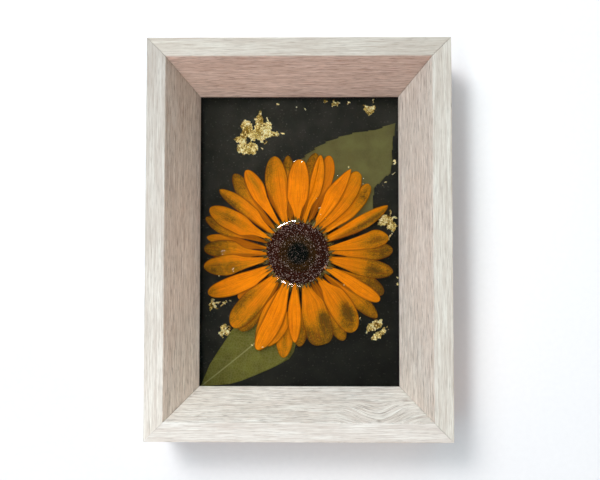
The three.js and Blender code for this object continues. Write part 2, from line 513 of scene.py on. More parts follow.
@dataclass(frozen=True)
class PetalSkin:
    """A pressed ray petal: orange, lined by fine veins, browning to olive where it has aged."""

    name: str = "pressed_petal"
    fresh: str = "#FF9A06"
    ripe: str = "#EC8C0A"
    aged: str = "#D2860D"
    olive: str = "#966C11"
    oldest: str = "#574716"
    rust: str = "#DC7A10"
    vein: str = "#BE5E08"
    edge: str = "#70360A"
    vein_mm: float = 0.38       # across; several real veins drawn as one
    mottle_mm: float = 2.4
    fleck_mm: float = 0.55

    def material(self) -> bpy.types.Material:
        """Builds the colour from each petal's own age, rust, rim and vein coordinates; the rim mark carries
        its dark outline and the painted shade in its grooves and beside the petals that lie on it.

        Returns:
            The finished material.
        """
        material, tree = new_material(self.name)
        age = add_node(tree, "ShaderNodeAttribute", attribute_name="age").outputs["Fac"]
        rust = add_node(tree, "ShaderNodeAttribute", attribute_name="rust").outputs["Fac"]
        rim = add_node(tree, "ShaderNodeAttribute", attribute_name="rim").outputs["Fac"]
        along = add_node(tree, "ShaderNodeUVMap", uv_map="vein").outputs[0]
        place = add_node(tree, "ShaderNodeTexCoord").outputs["Object"]
        combed = add_node(tree, "ShaderNodeMapping", {
            "Vector": along, "Scale": (1 / self.vein_mm, 0.07, 1.0)})
        veins = add_node(tree, "ShaderNodeTexNoise", {
            "Vector": combed.outputs[0], "Scale": 1.0, "Detail": 3.0, "Roughness": 0.65})
        mottle = add_node(tree, "ShaderNodeTexNoise", {
            "Vector": place, "Scale": PER_MM / self.mottle_mm, "Detail": 5.0, "Roughness": 0.7})
        fleck = add_node(tree, "ShaderNodeTexNoise", {
            "Vector": place, "Scale": PER_MM / self.fleck_mm, "Detail": 2.0, "Roughness": 0.6})
        blotch = add_node(tree, "ShaderNodeMapRange", {
            "Value": mottle.outputs[0], "From Min": 0.3, "From Max": 0.7, "To Min": -0.3, "To Max": 0.3})
        speck = add_node(tree, "ShaderNodeMapRange", {
            "Value": fleck.outputs[0], "From Min": 0.35, "From Max": 0.65, "To Min": -0.35, "To Max": 0.35})
        line = add_node(tree, "ShaderNodeMapRange", {
            "Value": veins.outputs[0], "From Min": 0.35, "From Max": 0.65, "To Min": -0.35, "To Max": 0.35})
        spotted = add_node(tree, "ShaderNodeMath", {
            0: blotch.outputs[0], 1: speck.outputs[0]}, operation="ADD")
        lined = add_node(tree, "ShaderNodeMath", {
            0: spotted.outputs[0], 1: line.outputs[0]}, operation="ADD")
        unrest = add_node(tree, "ShaderNodeMath", {0: age, 1: 0.35, 2: 0.16}, operation="MULTIPLY_ADD")
        worn = add_node(tree, "ShaderNodeMath", {
            0: lined.outputs[0], 1: unrest.outputs[0], 2: age}, operation="MULTIPLY_ADD")
        flesh = add_node(tree, "ShaderNodeValToRGB", {"Fac": worn.outputs[0]}, stops=(
            (0.0, linear(self.fresh)), (1.0, linear(self.oldest)), (0.22, linear(self.ripe)),
            (0.5, linear(self.aged)), (0.76, linear(self.olive))))
        rusted = add_node(tree, "ShaderNodeMix", {
            0: rust, 6: flesh.outputs[0], 7: linear(self.rust)}, data_type="RGBA")
        shade = add_node(tree, "ShaderNodeMapRange", {
            "Value": veins.outputs[0], "From Min": 0.45, "From Max": 0.66, "To Min": 0.0, "To Max": 0.5})
        veined = add_node(tree, "ShaderNodeMix", {
            0: shade.outputs[0], 6: rusted.outputs[2], 7: linear(self.vein)}, data_type="RGBA")
        # Painted shade: the rim mark darkens the petal toward its edge colour along its outline, its grooves
        # and beside the petals above it.
        edged = add_node(tree, "ShaderNodeMix", {
            0: rim, 6: veined.outputs[2], 7: linear(self.edge)}, data_type="RGBA")
        relief = add_node(tree, "ShaderNodeBump", {
            "Height": veins.outputs[0], "Strength": 0.6, "Distance": 0.2 * MM})
        close_surface(tree, {
            "Base Color": edged.outputs[2], "Roughness": 0.6, "Specular IOR Level": 0.05,
            "Normal": relief.outputs[0]})
        return material


@dataclass(frozen=True)
class LeafSkin:
    """A pressed leaf: matt olive with a faint net of paler veins and a thin pale midrib."""

    name: str
    green: str
    brown: str
    rib: str
    net_mm: float = 1.3
    cloud_mm: float = 11.0

    def material(self) -> bpy.types.Material:
        """Builds cloudy olive with a fine cell net and the ribs that the mesh marks.

        Returns:
            The finished material.
        """
        material, tree = new_material(self.name)
        place = add_node(tree, "ShaderNodeTexCoord").outputs["Object"]
        rib = add_node(tree, "ShaderNodeAttribute", attribute_name="rib").outputs["Fac"]
        cloud = add_node(tree, "ShaderNodeTexNoise", {
            "Vector": place, "Scale": PER_MM / self.cloud_mm, "Detail": 6.0, "Roughness": 0.6})
        net = add_node(tree, "ShaderNodeTexVoronoi", {
            "Vector": place, "Scale": PER_MM / self.net_mm}, feature="DISTANCE_TO_EDGE")
        net_part = add_node(tree, "ShaderNodeMapRange", {
            "Value": net.outputs[0], "From Max": 0.16, "To Min": 0.22, "To Max": 0.0})
        base = add_node(tree, "ShaderNodeValToRGB", {"Fac": cloud.outputs[0]}, stops=(
            (0.34, linear(self.brown)), (0.62, linear(self.green))))
        netted = add_node(tree, "ShaderNodeMix", {
            0: net_part.outputs[0], 6: base.outputs[0], 7: linear(self.rib)}, data_type="RGBA")
        ribbed = add_node(tree, "ShaderNodeMix", {
            0: rib, 6: netted.outputs[2], 7: linear(self.rib)}, data_type="RGBA")
        relief = add_node(tree, "ShaderNodeBump", {
            "Height": net.outputs[0], "Strength": 0.3, "Distance": 0.08 * MM}, invert=True)
        close_surface(tree, {
            "Base Color": ribbed.outputs[2], "Roughness": 0.75, "Specular IOR Level": 0.03,
            "Normal": relief.outputs[0]})
        return material


@dataclass(frozen=True)
class DryFloret:
    """Dried florets: a green-black eye, a dull ring, then dark maroon tubes with cream lips, whose pale
    specks also serve as painted glints.
    """

    name: str = "dried_floret"
    eye: str = "#1A1C15"
    ring: str = "#5A3A14"
    field: str = "#582414"
    # Cream of pollen-dusted lips and grains, which also paints the tiny glints on the disc.
    lip: str = "#FFE0D0"
    grain_mm: float = 0.5

    def material(self) -> bpy.types.Material:
        """Builds the body colour from the mesh's own marks for zone and for pollen.

        Returns:
            The finished material.
        """
        material, tree = new_material(self.name)
        place = add_node(tree, "ShaderNodeTexCoord").outputs["Object"]
        pale = add_node(tree, "ShaderNodeAttribute", attribute_name="pale").outputs["Fac"]
        warm = add_node(tree, "ShaderNodeAttribute", attribute_name="warm").outputs["Fac"]
        grain = add_node(tree, "ShaderNodeTexNoise", {
            "Vector": place, "Scale": PER_MM / self.grain_mm, "Detail": 3.0})
        depth = add_node(tree, "ShaderNodeMapRange", {
            "Value": grain.outputs[0], "From Min": 0.38, "From Max": 0.62, "To Min": 0.1, "To Max": 1.0})
        zone = add_node(tree, "ShaderNodeValToRGB", {"Fac": warm}, stops=(
            (0.0, linear(self.eye)), (1.0, linear(self.field)), (0.5, linear(self.ring))))
        body = add_node(tree, "ShaderNodeVectorMath", {
            0: zone.outputs[0], "Scale": depth.outputs[0]}, operation="SCALE")
        colour = add_node(tree, "ShaderNodeMix", {
            0: pale, 6: body.outputs[0], 7: linear(self.lip)}, data_type="RGBA")
        close_surface(tree, {
            "Base Color": colour.outputs[2], "Roughness": 0.65, "Specular IOR Level": 0.06})
        return material


@dataclass(frozen=True)
class GoldLeaf:
    """Beaten gold leaf, crumpled: painted cream highlights on some facets and painted bronze-brown shade in
    its folds.
    """

    name: str = "beaten_gold_leaf"
    glare: str = "#FFFBD2"
    bright: str = "#FDE794"
    deep: str = "#C4983A"
    fold: str = "#4E340C"
    facet_mm: float = 0.95
    sheet_mm: float = 3.4
    crease_mm: float = 0.7

    def material(self) -> bpy.types.Material:
        """Builds facets of two sizes, each painted with its own tone from shade to highlight, parted by
        painted shade along dark creases.

        Returns:
            The finished material.
        """
        material, tree = new_material(self.name)
        place = add_node(tree, "ShaderNodeTexCoord").outputs["Object"]
        warp = add_node(tree, "ShaderNodeTexNoise", {
            "Vector": place, "Scale": PER_MM / self.crease_mm, "Detail": 2.0, "Roughness": 0.6})
        shift = add_node(tree, "ShaderNodeVectorMath", {
            0: warp.outputs["Color"], "Scale": 0.5 * MM}, operation="SCALE")
        moved = add_node(tree, "ShaderNodeVectorMath", {0: place, 1: shift.outputs[0]}, operation="ADD")
        facet = add_node(tree, "ShaderNodeTexVoronoi", {
            "Vector": moved.outputs[0], "Scale": PER_MM / self.facet_mm})
        crease = add_node(tree, "ShaderNodeTexVoronoi", {
            "Vector": moved.outputs[0], "Scale": PER_MM / self.facet_mm}, feature="DISTANCE_TO_EDGE")
        sheet = add_node(tree, "ShaderNodeTexVoronoi", {
            "Vector": moved.outputs[0], "Scale": PER_MM / self.sheet_mm})
        small = add_node(tree, "ShaderNodeSeparateColor", {0: facet.outputs["Color"]})
        large = add_node(tree, "ShaderNodeSeparateColor", {0: sheet.outputs["Color"]})
        # Painted highlights and shade: each facet gets a random tone from bronze shade to cream glare, as if
        # turned toward or away from the light.
        weighed = add_node(tree, "ShaderNodeMath", {
            0: large.outputs[0], 1: 0.5, 2: 0.1}, operation="MULTIPLY_ADD")
        toned = add_node(tree, "ShaderNodeMath", {
            0: small.outputs[1], 1: 0.62, 2: weighed.outputs[0]}, operation="MULTIPLY_ADD")
        # Painted shade along the creases between the facets.
        painted_crease_shade = add_node(tree, "ShaderNodeMapRange", {
            "Value": crease.outputs[0], "From Max": 0.15, "To Min": 0.6, "To Max": 0.0})
        folded = add_node(tree, "ShaderNodeMath", {0: toned.outputs[0], 1: painted_crease_shade.outputs[0]},
                          operation="SUBTRACT")
        colour = add_node(tree, "ShaderNodeValToRGB", {"Fac": folded.outputs[0]}, stops=(
            (0.0, linear(self.fold)), (1.0, linear(self.glare)), (0.3, linear(self.deep)),
            (0.62, linear(self.bright))))
        relief = add_node(tree, "ShaderNodeBump", {
            "Height": toned.outputs[0], "Strength": 0.5, "Distance": 0.2 * MM})
        close_surface(tree, {
            "Base Color": colour.outputs[0], "Metallic": 0.85, "Roughness": 0.40,
            "Specular IOR Level": 0.1, "Normal": relief.outputs[0]})
        return material


@dataclass(frozen=True)
class StudioPaper:
    """Smooth white backdrop paper: even and matt, with the slightest tooth."""

    name: str = "white_backdrop_paper"
    white: str = "#ECEAEA"
    hollow: str = "#EAE8E8"
    tooth_mm: float = 3.0

    def material(self) -> bpy.types.Material:
        """Builds an almost even white.

        Returns:
            The finished material.
        """
        material, tree = new_material(self.name)
        place = add_node(tree, "ShaderNodeTexCoord").outputs["Object"]
        tooth = add_node(tree, "ShaderNodeTexNoise", {
            "Vector": place, "Scale": PER_MM / self.tooth_mm, "Detail": 2.0})
        colour = add_node(tree, "ShaderNodeValToRGB", {"Fac": tooth.outputs[0]}, stops=(
            (0.3, linear(self.hollow)), (0.7, linear(self.white))))
        close_surface(tree, {
            "Base Color": colour.outputs[0], "Roughness": 0.9, "Specular IOR Level": 0.1})
        return material


# ---- Wooden frame ----------------------------------------------------------------------------------
class Side(Enum):
    """One of the four rails, all cut from one plank.

    Its values are its node, its turn from the bottom rail, its place in the plank, the tint of its flat face,
    the tint of its slope, which is partly painted light and shade, and its gain at its -X or -Y end and at
    its other end, a painted falloff of light along the rail.
    """

    BOTTOM = ("rail_bottom", 0, (410.0, 13.0, 7.0), (1.15, 1.14, 1.16), (1.17, 1.20, 1.24), (1.04, 0.97))
    RIGHT = ("rail_right", 90, (95.0, 61.0, 22.0), (0.98, 0.98, 0.97), (1.17, 1.11, 1.09), (1.08, 0.92))
    TOP = ("rail_top", 180, (-260.0, 35.0, 55.0), (0.85, 0.84, 0.82), (1.01, 0.89, 0.88), (1.07, 0.94))
    LEFT = ("rail_left", 270, (730.0, -44.0, 9.0), (0.98, 0.97, 0.97), (1.09, 1.04, 1.03), (1.24, 0.78))


@dataclass
class WoodenFrame:
    """Four mitred rails: flat rim, steep inner slope, upright lip and a rebate behind it."""

    rim: float = 9.5
    slope_run: float = 13.5
    slope_drop: float = 32.0
    lip: float = 1.5
    rebate: float = 4.5
    mitre_gap: float = 0.12
    arris: float = 0.5         # how far the sanded edges are rounded
    knotted: Side = Side.BOTTOM
    knot: PinKnot = PinKnot((39.5, -90, 46.3), sweep=11, depth=0.7)

    def section(self, thickness: float) -> list[tuple[float, float]]:
        """Draws the outline that all four rails share.

        Args:
            thickness: The frame's, in millimetres.

        Returns:
            Its corners: inward from the outer side, and up from the back.
        """
        margin = self.rim + self.slope_run
        shelf = thickness - self.slope_drop - self.lip
        wall = margin - self.rebate
        return [(0, 0), (wall, 0), (wall, shelf), (margin, shelf), (margin, shelf + self.lip),
                (self.rim, thickness), (0, thickness)]

    def build_rail(self, side: Side) -> bpy.types.Object:
        """Builds one rail with sanded edges and its ends cut to 45 degrees.

        Args:
            side: Which rail.

        Returns:
            The piece that stands for the CAD rail.
        """
        name, turn, shift, flat, slope, drift = side.value
        low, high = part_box(name)
        thickness = (high[2] - low[2]) * PER_MM
        outward = 1 if turn in (0, 180) else 0
        reach = max(abs(low[outward]), abs(high[outward])) * PER_MM
        half = self.half_length(turn)
        mesh = bmesh.new()
        ring = [mesh.verts.new((-1, inward, up)) for inward, up in self.section(thickness)]
        end = mesh.faces.new(ring)
        swept = bmesh.ops.extrude_face_region(mesh, geom=[end])["geom"]
        bmesh.ops.translate(mesh, vec=(2, 0, 0), verts=only_verts(swept))
        bmesh.ops.recalc_face_normals(mesh, faces=mesh.faces)
        long_edges = [e for e in mesh.edges if abs(e.verts[0].co.x - e.verts[1].co.x) > 1]
        bmesh.ops.bevel(mesh, geom=long_edges, offset=self.arris, segments=3, profile=0.5,
                        affect="EDGES", material=-1)
        for vert in mesh.verts:
            vert.co.x *= half - vert.co.y - self.mitre_gap / math.sqrt(2)
        bmesh.ops.translate(mesh, vec=(0, -reach, 0), verts=mesh.verts)
        bmesh.ops.rotate(mesh, cent=(0, 0, 0), matrix=Matrix.Rotation(math.radians(turn), 3, "Z"),
                         verts=mesh.verts)
        bmesh.ops.scale(mesh, vec=(MM,) * 3, verts=mesh.verts)
        knot = self.knot if side is self.knotted else PinKnot()
        finish = LimedWood(f"limed_wood_{name}", turn, shift, flat, slope, drift, knot=knot)
        rail = finish_piece(f"{name}_wood", mesh, finish.material(), smooth=False)
        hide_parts(name)
        return rail

    def half_length(self, turn: int) -> float:
        """Half the outer length of a rail, in millimetres, read from the neighbouring rails."""
        axis, neighbour = (0, "rail_right") if turn in (0, 180) else (1, "rail_top")
        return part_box(neighbour)[1][axis] * PER_MM

    def build(self) -> None:
        """Builds all four rails."""
        for side in Side:
            self.build_rail(side)


# ---- Panel: boards and resin -----------------------------------------------------------------------
@dataclass(frozen=True)
class Ridge:
    """A low crest in the resin where a petal's edge lifts it. Millimetres, and degrees from +X."""

    x: float
    y: float
    turn: float
    length: float
    rise: float = 0.5
    width: float = 1.2


@dataclass
class ResinSheet:
    """The poured sheet: level over the board, domed over the flower's middle, crested by petals."""

    depth: float = 4.5         # from the board to its level top, just behind the rails' lips
    dome_x: float = -0.7
    dome_y: float = -6.8
    dome_radius: float = 18.2
    dome_rise: float = 2.7
    skirt: float = 1.0         # how far past the dome's edge the surface is still part of it
    waver: float = 0.02        # how far the dome's edge rises and falls
    waver_run: float = 5.0
    soft: float = 0.05         # how softly the dome's edge runs out into the level
    bite: float = 0.1          # how far it grips the board, so the two are one bond
    fine: float = 0.32         # spacing of its faces over the dome
    coarse: float = 0.55       # and beyond it
    ripple: float = 0.012
    ridge_fade: float = 4.0    # how far past its ends a ridge can still be felt
    ridges: tuple[Ridge, ...] = (
        Ridge(-2.2, 42.0, 62, 3.0), Ridge(1.9, 41.8, -38, 2.0), Ridge(21.0, 34.5, 50, 7.0),
        Ridge(26.6, 39.5, 60, 1.6), Ridge(34.6, 32.3, -60, 2.4), Ridge(11.4, 17.2, 58, 2.2),
        Ridge(10.2, 22.5, 62, 1.8), Ridge(14.0, 11.5, 80, 1.2), Ridge(-41.0, -6.6, 14, 7.0),
        Ridge(-35.0, -15.8, 22, 5.0), Ridge(-20.3, 20.6, 60, 1.5), Ridge(23.7, -23.4, -40, 1.5),
        Ridge(-3.5, -46.2, 55, 1.0),
    )

    def cap(self, x: float, y: float) -> float:
        """Works out the dome's rise: a spherical cap whose edge wavers a little.

        Args:
            x: The place, in millimetres.
            y: The place, in millimetres.

        Returns:
            The rise above the sheet's level, in millimetres.
        """
        dx, dy = x - self.dome_x, y - self.dome_y
        away = math.hypot(dx, dy)
        if away > self.dome_radius + self.skirt:
            return 0.0
        waver = self.waver * unrest(dx / self.waver_run, dy / self.waver_run, 4.0)
        curve = (self.dome_radius ** 2 + self.dome_rise ** 2) / (2 * self.dome_rise)
        rise = math.sqrt(curve ** 2 - away ** 2) - (curve - self.dome_rise)
        rise += waver * away / self.dome_radius
        return 0.5 * (rise + math.sqrt(rise * rise + self.soft ** 2))

    def height(self, x: float, y: float) -> float:
        """Works out how far the surface stands above its level.

        Args:
            x: The place, in millimetres.
            y: The place, in millimetres.

        Returns:
            The dome's rise, the ridges' and the ripple's together, in millimetres.
        """
        rise = self.cap(x, y)
        for ridge in self.ridges:
            dx, dy = x - ridge.x, y - ridge.y
            if abs(dx) + abs(dy) > ridge.length + self.ridge_fade:
                continue
            turn = math.radians(ridge.turn)
            on = dx * math.cos(turn) + dy * math.sin(turn)
            off = dy * math.cos(turn) - dx * math.sin(turn)
            rise += ridge.rise * bell(off, ridge.width) * bell(on, ridge.length / 2)
        wave = unrest(x * 0.09, y * 0.09, 3.0) + 0.4 * unrest(x * 0.3, y * 0.3, 9.0)
        return rise + self.ripple * wave

    def lines(self, low: float, high: float, middle: float) -> list[float]:
        """Spaces the sheet's faces from one edge to the other, closer together over the dome.

        Args:
            low: One edge, in millimetres.
            high: The other edge.
            middle: The dome's middle.

        Returns:
            The places of the lines between the faces, both edges included.
        """
        places = [low]
        while places[-1] < high:
            close = abs(places[-1] + self.fine - middle) < self.dome_radius + self.skirt
            places.append(min(places[-1] + (self.fine if close else self.coarse), high))
        return places

    def build(self) -> bpy.types.Object:
        """Builds the sheet as one closed body from a grid.

        Returns:
            The piece that stands for the CAD sheet.
        """
        low, high = (tuple(v * PER_MM for v in corner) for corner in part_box("resin_sheet"))
        level = board_top() + self.depth * MM
        across = self.lines(low[0], high[0], self.dome_x)
        up = self.lines(low[1], high[1], self.dome_y)
        mesh = bmesh.new()
        bmesh.ops.create_grid(mesh, x_segments=len(across) - 1, y_segments=len(up) - 1, size=1)
        for vert in mesh.verts:
            x = across[round((vert.co.x + 1) / 2 * (len(across) - 1))]
            y = up[round((vert.co.y + 1) / 2 * (len(up) - 1))]
            vert.co = (x * MM, y * MM, level + self.height(x, y) * MM)
        border = [e for e in mesh.edges if e.is_boundary]
        walls = bmesh.ops.extrude_edge_only(mesh, edges=border)["geom"]
        for vert in only_verts(walls):
            vert.co.z = board_top() - self.bite * MM
        rim = [e for e in walls if isinstance(e, bmesh.types.BMEdge) and e.is_boundary]
        bmesh.ops.contextual_create(mesh, geom=rim)
        bmesh.ops.recalc_face_normals(mesh, faces=mesh.faces)
        sheet = finish_piece("resin_cast", mesh, CastResin().material())
        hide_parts("resin_sheet")
        return sheet


@dataclass
class Boards:
    """The black board that the flower lies on and the plain board that closes the back."""

    def build(self) -> None:
        """Dresses both boards."""
        dress_node("black_board", PaintedBoard().material())
        dress_node("back_board", Hardboard().material())


@dataclass
class BackHardware:
    """Framer's points, the sawtooth hanger and its nails."""

    names: tuple[str, ...] = (
        "point_left_upper", "point_left_lower", "point_right_upper", "point_right_lower",
        "point_top", "point_bottom", "sawtooth_hanger", "hanger_nail_left", "hanger_nail_right")

    def build(self) -> None:
        """Dresses every steel piece."""
        steel = ZincSteel().material()
        for name in self.names:
            dress_node(name, steel)


# ---- Flower ----------------------------------------------------------------------------------------
FAR_OFF = 9.0                  # millimetres past which one petal leaves no seam on another


class Tone(Enum):
    """How far a petal has aged: at its root, at its tip, and how rusty it is."""

    BRIGHT = (0.04, 0.20, 0.0)
    AMBER = (0.12, 0.46, 0.0)
    OLIVE = (0.16, 0.82, 0.0)
    RUST = (0.25, 0.40, 0.7)


@dataclass(frozen=True)
class Patch:
    """A dark stain on a petal: how far along it, how far across (-1 to 1), its size and depth."""

    along: float
    across: float
    long: float
    wide: float
    depth: float = 0.6


@dataclass(frozen=True)
class Blade:
    """A petal or bract lying flat. Angles are anticlockwise from +X in degrees, sizes millimetres."""

    angle: float               # of the tip, seen from the flower's middle
    reach: float               # from the middle to the tip
    width: float
    layer: float               # how many petals deep it lies above the board
    tone: Tone = Tone.BRIGHT
    swing: float = 0.0         # how far round its root lies from its tip
    bend: float = 0.0          # how far its middle bows to the left
    belly: float = 0.63        # where it is widest
    nose: float = 2.0          # 1.4 pointed, 2 round, 3 blunt
    root: float = 0.35         # its root's share of the width
    patches: tuple[Patch, ...] = ()
    start: float = 15.5        # where its root sits

    def half_width(self, along: float) -> float:
        """Reads the outline: a sine's rise to the belly, then a rounded nose.

        Args:
            along: Share of the length from the root.

        Returns:
            Half the width there, in millimetres.
        """
        if along < self.belly:
            share = self.root + (1 - self.root) * math.sin(math.pi / 2 * along / self.belly)
        else:
            past = (along - self.belly) / (1 - self.belly)
            share = max(1 - past ** self.nose, 0.0) ** (1 / self.nose)
        return share * self.width / 2

    def tip(self) -> Vector:
        """The tip's place from the flower's middle."""
        return heading(self.angle) * self.reach

    def foot(self) -> Vector:
        """The root's place from the flower's middle."""
        return heading(self.angle + self.swing) * self.start

    def bow(self, along: float) -> float:
        """How far its mid-line bows to the right at a share of its length."""
        return -self.bend * 4 * along * (1 - along)

    def mid_line(self, along: float) -> Vector:
        """The place of its mid-line at a share of its length, from the flower's middle."""
        span = self.tip() - self.foot()
        return self.foot() + span * along + right_of(span.normalized()) * self.bow(along)

    def age_at(self, along: float, across: float, flat: Vector, drift: float) -> float:
        """Works out how far it has aged at a place: more to its tip and its stains, and along its edges as
        painted shade of its curve.

        Args:
            along: Share of its length from the root.
            across: Place across it, from -1 to 1.
            flat: The same place from the flower's middle, in millimetres.
            drift: Where in the noise it lies.

        Returns:
            Its age, 0 where it is fresh.
        """
        old, older, _ = self.tone.value
        age = old + (older - old) * smooth_step((along - 0.2) / 0.75)
        # Painted shade: the edges are aged further, so they darken as a curved petal would where it turns
        # from the light.
        age += 0.3 * bell(abs(across) - 1, 0.3) * (older - old)
        for patch in self.patches:
            spot = bell(along - patch.along, patch.long) * bell(across - patch.across, patch.wide)
            age += patch.depth * spot
        age += 0.16 * unrest(flat.x * 0.16, flat.y * 0.16, drift)
        age += 0.10 * unrest(flat.x * 0.5, flat.y * 0.5, drift)
        return max(age, 0.0)

    def beyond(self, flat: Vector) -> float:
        """Measures how far outside its edge a place is.

        Args:
            flat: The place from the flower's middle, in millimetres.

        Returns:
            The distance in millimetres, negative inside, and FAR_OFF well past its ends.
        """
        span = self.tip() - self.foot()
        ahead = span.normalized()
        rest = flat - self.foot()
        along = rest.dot(ahead) / span.length
        if not 0 < along < 1.1:
            return FAR_OFF
        along = min(along, 1.0)
        side = rest.dot(right_of(ahead)) - self.bow(along)
        return abs(side) - self.half_width(along)


@dataclass(frozen=True)
class Habit:
    """What chance gives one petal or bract."""

    grooves: tuple[float, float]   # where its two long grooves run across it, from -1 to 1
    drift: float                   # where in the noise it lies
    outline: float                 # how dark its edge is: the dried edge's own colour and painted shade where it lies on the petal below

    def groove(self, across: float, width: float) -> float:
        """How far a place across it lies in a groove of a given width."""
        return sum(bell(across - groove, width) for groove in self.grooves)


@dataclass(frozen=True)
class Gap:
    """A slit between two petals' roots, where the board shows. Degrees and millimetres."""

    angle: float
    reach: float
    half: float                # half its width where it meets the disc


